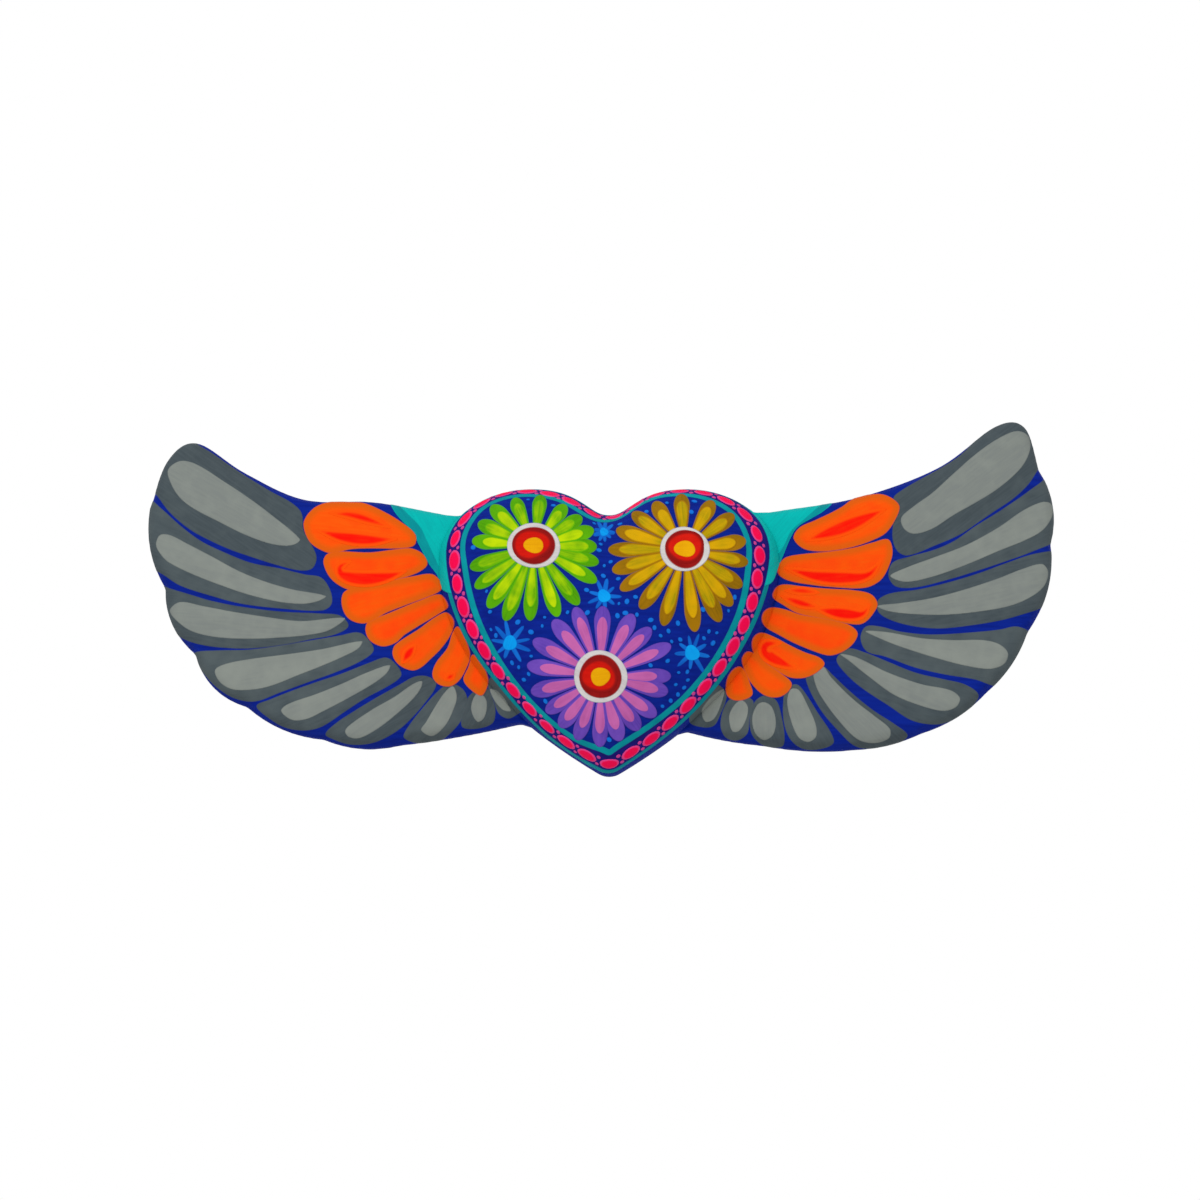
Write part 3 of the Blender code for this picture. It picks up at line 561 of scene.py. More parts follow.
RIGHT_LIGHT_FEATHERS = [
    [(901, 518), (914, 506), (932, 493), (954, 473), (977, 453), (999, 438), (1017, 431), (1028, 436),
     (1030, 450), (1021, 468), (999, 488), (977, 502), (954, 515), (932, 529), (914, 534), (904, 529)],
    [(890, 576), (905, 568), (932, 558), (966, 545), (999, 527), (1022, 511), (1042, 502), (1051, 504),
     (1052, 516), (1043, 530), (1026, 540), (999, 551), (966, 565), (932, 577), (905, 582)],
    [(877, 606), (900, 603), (932, 598), (966, 589), (999, 578), (1022, 569), (1042, 564), (1048, 572),
     (1044, 586), (1031, 597), (1010, 606), (977, 612), (943, 615), (909, 614), (887, 611)],
    [(865, 631), (887, 632), (921, 638), (954, 640), (983, 640), (999, 644), (1008, 653), (1004, 664),
     (990, 669), (966, 666), (932, 657), (898, 646), (876, 637)],
    [(840, 654), (856, 657), (887, 672), (921, 684), (950, 690), (960, 698), (956, 707), (943, 711),
     (921, 706), (894, 695), (869, 677), (849, 661)],
    [(814, 670), (823, 666), (831, 677), (853, 699), (876, 717), (890, 729), (889, 738), (874, 743),
     (857, 739), (838, 720), (820, 695), (814, 680)],
    [(787, 700), (791, 689), (799, 690), (808, 706), (816, 725), (816, 737), (808, 742), (798, 737),
     (790, 718)],
    [(752, 718), (757, 705), (764, 702), (772, 707), (776, 722), (773, 735), (764, 740), (755, 733)],
    [(729, 716), (735, 704), (742, 700), (748, 707), (746, 720), (739, 731), (732, 731)],
    [(703, 708), (714, 695), (724, 690), (721, 705), (714, 719), (706, 722), (702, 716)],
]
COAT = 0.06 * MM
COAT_SHOULDER = 0.4
COAT_OVERLAP = 0.01 * MM
OVERLAP_LEVELS = 3
COAT_ROOT = 0.05 * MM
LIGHT_COATS_UNDER = 1.4
ALL_ROUND = -0.8
RIM_WIDTH = 0.4
FACING_TO_MM = 4
FAR_OUTSIDE = -1000.0
UNLIMITED = 1000.0
MARK_REACH = 6
FEATHER_SPREAD = 0.7
GLUED_WITHIN = 3
GLUED_DEPTH = 7
GLUED_TURN = 0.35
UPPER_WALL = 0.35
UPPER_WALL_LEAN = 0.5
UPPER_WALL_RISE = 0.87
STROKE_STEP = 0.618
STROKES_APART = 90
STROKE_TONE = 0.3
HAIR_LENGTH = 9
HAIR_WIDTH = 0.8
CLOUD_WIDTH = 7
SOFT_EDGE_START = 0.3
THIN_RIM = 0.3
DARK_GREY = ("#4b555a", "#444e53", "#535d60")
LIGHT_GREY = ("#838984", "#7e8481", "#8a908a")
Skin = collections.namedtuple("Skin", "points normals reach faces slot")


def skin_of(piece, slot, reach_rule):
    """A finished mesh as arrays: its points, their normals, how far inside the brush's reach they lie, and
    its triangles, with its paint's slot. The rule gives the reach in millimetres from points and normals."""
    mesh = piece.data
    mesh.calc_loop_triangles()
    normals = np.empty(len(mesh.vertices) * 3, np.float32)
    mesh.vertex_normals.foreach_get("vector", normals)
    faces = np.empty(len(mesh.loop_triangles) * 3, np.int32)
    mesh.loop_triangles.foreach_get("vertices", faces)
    points, normals = point_array(mesh), normals.reshape(-1, 3).astype(float)
    return Skin(points, normals, reach_rule(points, normals), faces.reshape(-1, 3), slot)


def smooth_outline(points, steps=6):
    """A smooth closed line through a few points."""
    here = np.array(points, float)
    after = np.roll(here, -1, 0)
    chord = np.linalg.norm(after - here, axis=1)[:, None]
    slope = (after - np.roll(here, 1, 0)) / (chord + np.roll(chord, 1, 0))
    leave, arrive = slope * chord, np.roll(slope, -1, 0) * chord
    spans = []
    for t in np.linspace(0, 1, steps, endpoint=False):
        rise = t * t * (3 - 2 * t)
        spans.append(here + (after - here) * rise + leave * t * (1 - t) ** 2 - arrive * t * t * (1 - t))
    return np.stack(spans, axis=1).reshape(-1, 2)


def depth_in(outline, spots):
    """How far spots lie inside a closed outline, in its own units, and below zero outside it."""
    nearest = np.full(len(spots), np.inf)
    inside = np.zeros(len(spots), bool)
    for start, stop in zip(outline, np.roll(outline, -1, 0)):
        run = stop - start
        away = spots - start
        share = np.clip(away @ run / (run @ run), 0, 1)
        nearest = np.minimum(nearest, ((away - share[:, None] * run) ** 2).sum(1))
        crossed = (spots[:, 1] < start[1]) != (spots[:, 1] < stop[1])
        inside ^= crossed & (away[:, 0] < away[:, 1] * run[0] / (run[1] or 1))
    return np.where(inside, 1, -1) * np.sqrt(nearest)


def frame_pixels(points):
    """Where points come in the camera's frame, in pixels from its upper left corner."""
    from_eye = points - np.array(eye)
    far = from_eye @ np.array(looking)
    right = from_eye[:, 0] / far * focal_pixels
    up = from_eye @ np.array(upward) / far * focal_pixels
    return np.column_stack([FRAME_PIXELS / 2 + right, FRAME_PIXELS / 2 - up])


def traced(outline, spread=0):
    """A brush mark drawn as an outline in the camera's frame, which the paint overruns by the spread. It
    gives points their depth inside the mark and their place along and across its hairs, in millimetres."""
    middle = outline.mean(0)
    along = np.linalg.svd(outline - middle)[2][0]
    across = np.array([-along[1], along[0]])
    low, high = outline.min(0) - MARK_REACH, outline.max(0) + MARK_REACH

    def mark(points, normals):
        spots = frame_pixels(points)
        near = ((spots > low) & (spots < high)).all(1)
        depth = np.full(len(points), FAR_OUTSIDE)
        depth[near] = depth_in(outline, spots[near]) + spread
        return np.column_stack([depth, (spots - middle) @ along, (spots - middle) @ across]) * pixel_in_mm

    return mark


def split_faces(rows, faces, chosen):
    """The chosen triangles in four and their neighbours to match, with a row of values for each point."""
    ends = np.sort(faces[:, [0, 1, 1, 2, 2, 0]].reshape(-1, 2), 1)
    pairs, index = np.unique(ends, axis=0, return_inverse=True)
    index = index.reshape(-1, 3)
    halved = np.zeros(len(pairs), bool)
    halved[index[chosen]] = True
    middle = len(rows) - 1 + np.cumsum(halved)
    count = halved[index].sum(1)
    first = np.where(count == 1, halved[index].argmax(1), halved[index].argmin(1) + 1)
    turn = (first[:, None] + np.arange(3)) % 3
    a, b, c = np.take_along_axis(faces, turn, 1).T
    ab, bc, ca = np.take_along_axis(middle[index], turn, 1).T
    parts = [
        [(a, b, c)],
        [(a, ab, c), (ab, b, c)],
        [(ab, b, bc), (a, ab, bc), (a, bc, c)],
        [(a, ab, ca), (ab, b, bc), (ca, bc, c), (ab, bc, ca)],
    ]
    split = []
    for halves, group in enumerate(parts):
        split += [np.column_stack(corners)[count == halves] for corners in group]
    return np.vstack([rows, rows[pairs[halved]].mean(1)]), np.vstack(split)


def cut_out(rows, faces, depth):
    """The part of a skin where depth is above zero, cut along the line where it is zero."""
    inside = depth[faces] > 0
    count = inside.sum(1)
    odd = np.where(count == 1, inside.argmax(1), inside.argmin(1))
    turned = np.take_along_axis(faces, (odd[:, None] + np.arange(3)) % 3, 1)
    one, two = turned[count == 1], turned[count == 2]
    ends = np.sort(np.vstack([one[:, [0, 1]], one[:, [0, 2]], two[:, [0, 1]], two[:, [0, 2]]]), 1)
    pairs, index = np.unique(ends, axis=0, return_inverse=True)
    share = depth[pairs[:, 0]] / (depth[pairs[:, 0]] - depth[pairs[:, 1]])
    crossings = rows[pairs[:, 0]] + share[:, None] * (rows[pairs[:, 1]] - rows[pairs[:, 0]])
    index = index.ravel() + len(rows)
    one_b, one_c, two_b, two_c = np.split(index, np.cumsum([len(one), len(one), len(two)]))
    kept = np.vstack([
        faces[count == 3],
        np.column_stack([one[:, 0], one_b, one_c]),
        np.column_stack([two_b, two[:, 1], two[:, 2]]),
        np.column_stack([two_b, two[:, 2], two_c]),
    ])
    used, kept = np.unique(kept, return_inverse=True)
    return np.vstack([rows, crossings])[used], kept.reshape(-1, 3)


def closed_shell(top, bottom, faces):
    """A thin closed shell between two copies of a surface."""
    size = len(top)
    starts, stops = faces.ravel(), np.roll(faces, -1, 1).ravel()
    open_edge = ~np.isin(starts * size + stops, stops * size + starts)
    a, b = starts[open_edge], stops[open_edge]
    walls = [np.column_stack([b, a, a + size]), np.column_stack([b, a + size, b + size])]
    return np.vstack([top, bottom]), np.vstack([faces, faces[:, ::-1] + size, *walls])


def array_mesh(name, points, faces, attributes):
    """A smooth mesh from arrays, with named values on its points."""
    mesh = bpy.data.meshes.new(name)
    mesh.vertices.add(len(points))
    mesh.vertices.foreach_set("co", points.astype(np.float32).ravel())
    mesh.loops.add(faces.size)
    mesh.loops.foreach_set("vertex_index", faces.astype(np.int32).ravel())
    mesh.polygons.add(len(faces))
    mesh.polygons.foreach_set("loop_start", np.arange(0, faces.size, 3, dtype=np.int32))
    mesh.update(calc_edges=True)
    mesh.shade_smooth()
    for label, values in attributes.items():
        keep_values(mesh, label, values)
    return mesh


def facing(points, normals):
    """How far a skin faces the eye: 1 square to it, 0 where it turns away."""
    to_eye = np.array(eye) - points
    return (normals * to_eye).sum(1) / np.linalg.norm(to_eye, axis=1)


def placed(mark, rows, least_facing):
    """Where rows of a skin lie in a mark, which ends at the brush's reach or where the skin turns away."""
    points, normals, reach = rows[:, :3], rows[:, 3:6], rows[:, 6]
    place = mark(points, normals)
    turned = (facing(points, normals) - least_facing) * FACING_TO_MM
    place[:, 0] = np.minimum.reduce([place[:, 0], reach, turned])
    return place


def painted_on(piece):
    """Paint that rides with the ornament."""
    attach(piece, "ornament")


def lay_paint(name, skin, marks, coats_under, material, least_facing=ALL_ROUND, splits=1):
    """A coat of paint on a skin. Each mark takes the skin inside its edge, split fine at its rim, cut out and
    lifted onto the coats under it as a thin closed shell. It ends where the skin faces the eye too little."""
    under = COAT * coats_under
    tops, shells, traits = [], [], []
    points_before = 0
    for order, mark in enumerate(marks):
        near = mark(skin.points, skin.normals)[:, 0] > -MARK_REACH * pixel_in_mm
        chosen, faces = np.unique(skin.faces[near[skin.faces].any(1)], return_inverse=True)
        rows = np.column_stack([skin.points[chosen], skin.normals[chosen], skin.reach[chosen]])
        faces = faces.reshape(-1, 3)
        place = placed(mark, rows, least_facing)
        for _ in range(splits):
            depth = place[faces, 0]
            at_rim = (depth.min(1) < RIM_WIDTH) & (depth.max(1) > -RIM_WIDTH)
            rows, faces = split_faces(rows, faces, at_rim)
            place = placed(mark, rows, least_facing)
        rows, faces = cut_out(np.hstack([rows[:, :6], place]), faces, place[:, 0])
        if not len(faces):
            continue
        shoulder = 1 - (1 - np.clip(rows[:, 6] / COAT_SHOULDER, 0, 1)) ** 2
        lift = under + COAT * shoulder + COAT_OVERLAP * (order % OVERLAP_LEVELS)
        top = rows[:, :3] + rows[:, 3:6] * lift[:, None]
        bottom = rows[:, :3] - rows[:, 3:6] * COAT_ROOT
        shell, shell_faces = closed_shell(top, bottom, faces)
        tops.append(shell)
        shells.append(shell_faces + points_before)
        points_before += len(shell)
        stroke = np.full((len(rows), 1), (order * STROKE_STEP) % 1)
        traits.append(np.vstack([np.hstack([rows[:, 6:9], stroke])] * 2))
    values = np.vstack(traits)
    labels = dict(zip(("depth", "along", "across", "stroke"), values.T))
    piece = new_piece(name, array_mesh(name, np.vstack(tops), np.vstack(shells), labels))
    piece.data.materials.append(material)
    painted_on(piece)


def brushed_acrylic(name, colours, under, edge=None, edge_width=1.0):
    """Artist's acrylic laid on with one pull of a soft round brush: an even, nearly matt colour, combed into
    fine hairs along the stroke and fuller in places. Its rim is so thin that the coat under it shows."""
    body, lean, full = colours
    material, tree = new_material(name)
    along = add(tree, "ShaderNodeAttribute", attribute_name="along")["Fac"]
    across = add(tree, "ShaderNodeAttribute", attribute_name="across")["Fac"]
    stroke = add(tree, "ShaderNodeAttribute", attribute_name="stroke")["Fac"]
    depth = add(tree, "ShaderNodeAttribute", attribute_name="depth")["Fac"]
    apart = add(tree, "ShaderNodeMath", {0: stroke, 1: STROKES_APART}, operation="MULTIPLY")[0]
    brush = add(tree, "ShaderNodeCombineXYZ", {"X": along, "Y": across, "Z": apart})[0]
    hair_scale = (1 / HAIR_LENGTH, 1 / HAIR_WIDTH, 1)
    combed = add(tree, "ShaderNodeMapping", {"Vector": brush, "Scale": hair_scale})[0]
    hairs = add(tree, "ShaderNodeTexNoise", {"Vector": combed, "Scale": 1, "Detail": 3})["Fac"]
    clouds = add(tree, "ShaderNodeTexNoise", {"Vector": brush, "Scale": 1 / CLOUD_WIDTH, "Detail": 2})["Fac"]
    hair_share = add(tree, "ShaderNodeMapRange", {"Value": hairs, "From Min": 0.35, "From Max": 0.65})[0]
    own = add(tree, "ShaderNodeMath", {0: stroke, 1: STROKE_TONE, 2: clouds}, operation="MULTIPLY_ADD")[0]
    full_share = add(tree, "ShaderNodeMapRange", {"Value": own, "From Min": 0.5, "From Max": 0.9})[0]
    streaked = add(tree, "ShaderNodeMix", {"Factor": hair_share, MIX_A: linear(lean), MIX_B: linear(body)},
                   data_type="RGBA")[MIX_RESULT]
    colour = add(tree, "ShaderNodeMix", {"Factor": full_share, MIX_A: streaked, MIX_B: linear(full)},
                 data_type="RGBA")[MIX_RESULT]
    if edge:
        inward = {"Value": depth, "From Min": edge_width * SOFT_EDGE_START, "From Max": edge_width,
                  "To Min": 1, "To Max": 0}
        edge_share = add(tree, "ShaderNodeMapRange", inward, interpolation_type="SMOOTHSTEP")[0]
        colour = add(tree, "ShaderNodeMix", {"Factor": edge_share, MIX_A: colour, MIX_B: linear(edge)},
                     data_type="RGBA")[MIX_RESULT]
    thinning = {"Value": depth, "From Min": 0, "From Max": THIN_RIM, "To Min": 0.5, "To Max": 0}
    through = add(tree, "ShaderNodeMapRange", thinning)[0]
    colour = add(tree, "ShaderNodeMix", {"Factor": through, MIX_A: colour, MIX_B: linear(under)},
                 data_type="RGBA")[MIX_RESULT]
    dullness = add(tree, "ShaderNodeMapRange", {"Value": hairs, "To Min": 0.68, "To Max": 0.82})[0]
    relief = add(tree, "ShaderNodeBump", {"Height": hairs, "Strength": 0.3, "Distance": 0.05 * MM})[0]
    finish_material(tree, {"Base Color": colour, "Roughness": dullness, "Normal": relief,
                           "Specular IOR Level": PAINT_GLOSS})
    return material


def clear_of_joint(points, normals):
    """How far a wing's points lie from the wall glued to the heart: off it, turned from it, or in front."""
    reach = np.full(len(points), UNLIMITED)
    near = abs(points[:, 0]) / MM < abs(heart_plan[:, 0]).max() + 2 * GLUED_WITHIN
    spots = points[near][:, [0, 2]] / MM
    inset = depth_in(heart_plan, spots)
    towards = depth_in(heart_plan, spots + normals[near][:, [0, 2]]) - inset
    in_front = -points[near, 1] / MM - GLUED_DEPTH
    reach[near] = np.maximum.reduce([-inset - GLUED_WITHIN, (GLUED_TURN - towards) * FACING_TO_MM, in_front])
    return reach


def off_upper_wall(points, normals):
    """How far a wing's points lie from its upper wall, which stays blue between the tip and the shoulder."""
    inward = -np.sign(points[:, 0]) * normals[:, 0]
    on_wall = UPPER_WALL_RISE * normals[:, 2] + UPPER_WALL_LEAN * inward
    return np.maximum(facing(points, normals), UPPER_WALL - on_wall) * FACING_TO_MM


upward = Vector((0, -math.sin(EYE_TILT), math.cos(EYE_TILT)))
focal_pixels = camera_data.lens / camera_data.sensor_width * FRAME_PIXELS
pixel_in_mm = EYE_DISTANCE / focal_pixels / MM
heart_plan = np.array([(point.x, point.z) for point in edge_line]) / MM
dark_grey = brushed_acrylic("slate_grey_acrylic", DARK_GREY, BASE_BLUE)
light_grey = brushed_acrylic("dove_grey_acrylic", LIGHT_GREY, DARK_GREY[0])
shoulder_skins = {side: skin_of(wing, "wing_paint", clear_of_joint) for side, wing in wings.items()}
wing_skins = {}
for side, dark, light in (
    ("left", LEFT_DARK_FEATHERS, LEFT_LIGHT_FEATHERS),
    ("right", RIGHT_DARK_FEATHERS, RIGHT_LIGHT_FEATHERS),
):
    skin = shoulder_skins[side]
    lower_reach = np.minimum(skin.reach, off_upper_wall(skin.points, skin.normals))
    wing_skins[side] = skin._replace(reach=lower_reach)
    dark_marks = [traced(smooth_outline(outline), FEATHER_SPREAD) for outline in dark]
    light_marks = [traced(smooth_outline(outline)) for outline in light]
    lay_paint(side + "_dark_feathers", wing_skins[side], dark_marks, 0, dark_grey)
    lay_paint(side + "_light_feathers", wing_skins[side], light_marks, LIGHT_COATS_UNDER, light_grey)


# The short feathers between the long ones and the heart are orange, worked wet into a redder middle, and some
# have a pull or two of red on top. They overlap as they fan round the wing's root.
LEFT_SHORT_FEATHERS = [
    [(304, 525), (308, 515), (317, 507), (330, 503), (350, 503), (364, 504), (385, 513), (403, 524),
     (415, 535), (414, 545), (400, 548), (370, 548), (350, 549), (332, 553), (318, 548), (309, 540)],
    [(324, 563), (327, 555), (337, 552), (370, 553), (395, 550), (411, 549), (422, 554), (427, 564),
     (420, 571), (405, 577), (385, 582), (372, 586), (358, 590), (345, 588), (331, 578)],
    [(342, 600), (345, 592), (358, 587), (390, 581), (412, 577), (433, 575), (442, 587), (436, 593),
     (405, 605), (385, 613), (372, 621), (361, 623), (350, 619), (344, 611)],
    [(366, 628), (370, 620), (383, 616), (420, 601), (440, 595), (448, 606), (441, 612), (405, 634),
     (396, 642), (384, 646), (374, 643), (368, 637)],
    [(393, 653), (396, 645), (420, 629), (435, 618), (447, 613), (454, 622), (450, 635), (441, 648),
     (430, 659), (421, 667), (413, 670), (403, 667), (396, 661)],
    [(433, 676), (436, 664), (448, 648), (453, 633), (458, 627), (466, 641), (470, 655), (466, 668),
     (459, 680), (450, 686), (439, 684)],
    [(464, 680), (469, 667), (473, 655), (480, 662), (486, 672), (488, 682), (482, 695), (473, 691)],
]
RIGHT_SHORT_FEATHERS = [
    [(794, 538), (800, 528), (815, 521), (830, 514), (843, 507), (853, 500), (867, 496), (881, 495),
     (892, 499), (899, 507), (894, 521), (885, 533), (872, 540), (855, 546), (835, 550), (818, 551),
     (803, 548)],
    [(778, 573), (780, 564), (786, 558), (800, 555), (830, 552), (855, 548), (873, 543), (888, 540),
     (892, 552), (888, 567), (881, 579), (870, 586), (857, 588), (836, 587), (815, 585), (788, 580)],
    [(773, 597), (776, 588), (784, 585), (803, 587), (825, 589), (855, 591), (871, 595), (877, 604),
     (873, 613), (866, 621), (859, 624), (846, 623), (825, 619), (798, 613), (784, 605)],
    [(762, 620), (764, 612), (771, 608), (785, 610), (800, 615), (825, 619), (848, 625), (857, 633),
     (853, 643), (843, 651), (831, 655), (820, 653), (795, 643), (778, 634), (766, 627)],
    [(752, 645), (754, 637), (761, 633), (775, 638), (790, 646), (805, 653), (819, 658), (824, 664),
     (818, 671), (809, 676), (799, 678), (787, 676), (766, 663), (755, 655)],
    [(742, 660), (747, 652), (756, 655), (767, 664), (781, 674), (791, 683), (789, 690), (781, 696),
     (772, 697), (763, 694), (755, 687), (748, 677)],
    [(726, 688), (728, 677), (734, 669), (740, 667), (746, 673), (749, 682), (752, 694), (745, 699),
     (735, 700), (728, 696)],
]
LEFT_RED_PULLS = [
    ([(328, 513), (355, 516), (391, 528)], 11), ([(316, 530), (342, 537), (370, 540), (398, 539)], 15),
    ([(352, 561), (340, 567), (343, 575), (362, 579), (385, 577), (407, 571)], 17),
    ([(402, 664), (407, 656), (416, 644)], 12), ([(444, 680), (450, 677), (456, 673)], 9),
]
RIGHT_RED_PULLS = [
    ([(805, 541), (845, 527), (886, 509)], 17),
    ([(784, 568), (815, 576), (845, 578), (868, 575), (882, 560)], 16),
    ([(780, 596), (800, 603), (820, 608)], 11), ([(815, 609), (845, 614), (862, 614), (870, 605)], 15),
    ([(784, 591), (802, 591), (820, 593)], 9),
    ([(782, 643), (766, 645), (766, 653), (778, 661), (797, 669)], 15),
]
IN_SIGHT = -0.1
ORANGE_COATS_UNDER = 2.8
RED_COATS_UNDER = 4.2
PULL_START = 0.06
PULL_FULLNESS = 0.8
ORANGE = ("#fe5304", "#fa5a06", "#fe4706")
ORANGE_EDGE = "#df5d0c"
ORANGE_EDGE_WIDTH = 3.4
RED = ("#fe1202", "#fb2604", "#fb0d02")
RED_SOFTNESS = 1.6


def smooth_line(points, count=25, steps=12):
    """Evenly placed points on a smooth open line through a few points."""
    points = np.array(points, float)
    ends = np.vstack([2 * points[0] - points[1], points, 2 * points[-1] - points[-2]])
    rounded = smooth_outline(ends, steps)[steps : steps * len(points) + 1]
    walked = np.concatenate([[0], np.cumsum(np.linalg.norm(np.diff(rounded, axis=0), axis=1))])
    places = np.linspace(0, walked[-1], count)
    return np.column_stack([np.interp(places, walked, column) for column in rounded.T])


def brush_pull(line, half_widths):
    """The outline of one pull of the brush along a line, with its half width at each point."""
    run = np.gradient(line, axis=0)
    aside = np.column_stack([-run[:, 1], run[:, 0]]) / np.linalg.norm(run, axis=1)[:, None]
    reach = aside * np.asarray(half_widths)[:, None]
    return np.vstack([line + reach, (line - reach)[::-1]])


def tapered_pull(points, width):
    """A pull of that full width that comes to a point at both ends."""
    line = smooth_line(points)
    swell = np.sin(np.linspace(PULL_START, math.pi - PULL_START, len(line))) ** PULL_FULLNESS
    return brush_pull(line, width / 2 * swell)


orange = brushed_acrylic("orange_acrylic", ORANGE, BASE_BLUE, ORANGE_EDGE, ORANGE_EDGE_WIDTH)
red = brushed_acrylic("vermilion_acrylic", RED, ORANGE[0], ORANGE[0], RED_SOFTNESS)
for side, feathers, pulls in (
    ("left", LEFT_SHORT_FEATHERS, LEFT_RED_PULLS),
    ("right", RIGHT_SHORT_FEATHERS, RIGHT_RED_PULLS),
):
    marks = [traced(smooth_outline(outline), FEATHER_SPREAD) for outline in feathers]
    lay_paint(side + "_short_feathers", wing_skins[side], marks, ORANGE_COATS_UNDER, orange, IN_SIGHT)
    marks = [traced(tapered_pull(points, width)) for points, width in pulls]
    lay_paint(side + "_red_pulls", wing_skins[side], marks, RED_COATS_UNDER, red, IN_SIGHT)


# The shoulder of each wing is turquoise up to the heart, over the filled joint and round the upper rim, with
# a darker pull of the same colour where it borders the feathers.
SHOULDERS = {
    "left": [(386, 494), (392, 507), (403, 522), (413, 532), (418, 543), (429, 564), (437, 575), (444, 590),
             (460, 592), (474, 560), (472, 520), (452, 500), (420, 492)],
    "right": [(836, 496), (831, 505), (825, 510), (814, 517), (799, 526), (792, 535), (783, 556), (778, 566),
              (770, 583), (752, 584), (742, 550), (746, 515), (765, 500), (800, 490)],
}
SHOULDER_EDGES = {
    "left": [(388, 498), (394, 511), (403, 522), (413, 532), (418, 543), (429, 564), (437, 575), (444, 592),
             (451, 592), (444, 578), (436, 560), (428, 543), (421, 528), (410, 516), (397, 504)],
    "right": [(834, 499), (825, 510), (814, 517), (799, 526), (792, 535), (783, 556), (772, 580), (768, 580),
              (775, 560), (784, 545), (791, 531), (803, 520), (821, 505)],
}
SHOULDER_EDGE_COATS_UNDER = 1.2
TURQUOISE = ("#02bab4", "#03b0ad", "#04beb8")
DEEP_TURQUOISE = ("#04949a", "#058c94", "#069fa2")

turquoise = brushed_acrylic("turquoise_acrylic", TURQUOISE, BASE_BLUE)
deep_turquoise = brushed_acrylic("deep_turquoise_acrylic", DEEP_TURQUOISE, TURQUOISE[0])
for side, outline in SHOULDERS.items():
    skin = shoulder_skins[side]
    shoulder_mark = traced(smooth_outline(outline))
    lay_paint(side + "_shoulder", skin, [shoulder_mark], 0, turquoise)
    edge_mark = traced(smooth_outline(SHOULDER_EDGES[side]))
    lay_paint(side + "_shoulder_edge", skin, [edge_mark], SHOULDER_EDGE_COATS_UNDER, deep_turquoise)


# The heart's border is two teal lines and, between them, a violet lane with one pink bead after another, each
# a single press of the brush, and a pair of small dots in every gap. It is drawn by eye and wanders: BORDER
# has turns from the tip in degrees, and how far in the outer line, the beads and the inner line run, in mm.
BORDER = [
    (0, 0.7, 2.7, 6.3), (20, 1.0, 2.7, 6.2), (40, 1.7, 4.0, 6.5), (60, 3.1, 5.5, 7.8), (80, 4.6, 7.1, 9.6),
    (95, 4.9, 8.0, 10.9), (107, 4.0, 8.2, 12.0), (118, 2.4, 6.9, 11.5), (130, 0.6, 4.1, 7.3),
    (145, 0.5, 2.4, 4.8), (165, 0.5, 1.8, 3.2), (178, 0.7, 2.6, 4.4), (192, 1.1, 3.8, 6.0),
    (203, 0.9, 3.5, 5.8), (216, 0.5, 1.7, 4.5), (228, 0.5, 2.0, 4.2), (236, 0.6, 3.6, 6.7),
    (248, 2.4, 6.0, 9.8), (257, 3.0, 6.5, 10.1), (268, 3.3, 6.3, 9.4), (284, 2.8, 5.7, 7.9),
    (300, 2.4, 4.5, 6.4), (316, 1.2, 3.4, 5.0), (332, 0.3, 2.0, 3.9), (347, 0.1, 1.6, 3.8),
]
BORDER_SMOOTHING = 19
LINE_HALF_WIDTH = 1.3
STEEPEST = 0.25
EVERYWHERE = -2
LINE_COATS_UNDER = 1.2
FLANK_COATS_UNDER = 2.6
ON_COURSE = 0.97
BEAD_COUNT = 39
BEAD_LENGTH = 7.3
BEAD_WIDTH = 5.4
BEAD_SIDES = 16
BEAD_RISE = 0.3 * MM
BEAD_SPREAD = 0.08
BEAD_SEED = 5
BEAD_DOT_WIDTH = 1.5
BEAD_DOT_SIDES = 10
BEAD_DOT_ASIDE = 2.0 * MM
DOME_PROFILE = [(1.0, 0.5), (0.82, 0.85), (0.45, 1.0)]
UNEVEN_RIM = 0.12
RIM_FADE = 0.16
BEAD_RIM_START = 0.78
DOT_RIM_START = 0.9
LINE_TEAL = ("#028e99", "#03848f", "#049aa5")
VIOLET = ("#22157a", "#1b1468", "#2b1880")
BEAD_PINK = "#ff0552"
BEAD_RIM = "#e8468f"
DOT_PINK = "#cb4596"


def border_course(turns):
    """The three lines of the border at turns in degrees: outer, beads and inner."""
    stations = np.array(BORDER)
    degrees = np.arange(360)
    window = np.hanning(BORDER_SMOOTHING + 2)
    half = len(window) // 2
    lines = []
    for column in stations[:, 1:].T:
        wandering = np.interp(degrees, stations[:, 0], column, period=360)
        smooth = np.convolve(np.pad(wandering, half, mode="wrap"), window / window.sum(), "valid")
        lines.append(np.interp(turns, degrees, smooth, period=360))
    return lines


def border_place(points):
    """How far points lie inside the heart's edge in millimetres, and their turn from its tip in degrees."""
    spots = points[:, [0, 2]] / MM
    turns = np.degrees(np.arctan2(spots[:, 0], HEART_MIDDLE.z / MM - spots[:, 1]))
    return depth_in(heart_plan, spots), turns


def border_mark(depth_rule):
    """A mark round the heart. The rule gives its depth from how far in from the outer line and how far out
    from the inner line a point lies on the face, which is steeper than the plan."""

    def mark(points, normals):
        inset, turns = border_place(points)
        outer, _, inner = border_course(turns)
        level = np.maximum(abs(normals[:, 1]), STEEPEST)
        depth = depth_rule((inset - outer) / level, (inner - inset) / level)
        return np.column_stack([depth, np.radians(turns) * heart_plan[:, 0].max(), inset])

    return mark


def within(mark, other):
    """The part of a mark that lies inside another one."""

    def shared(points, normals):
        place = mark(points, normals)
        near = place[:, 0] > -MARK_REACH * pixel_in_mm
        place[near, 0] = np.minimum(place[near, 0], other(points[near], normals[near])[:, 0])
        return place

    return shared


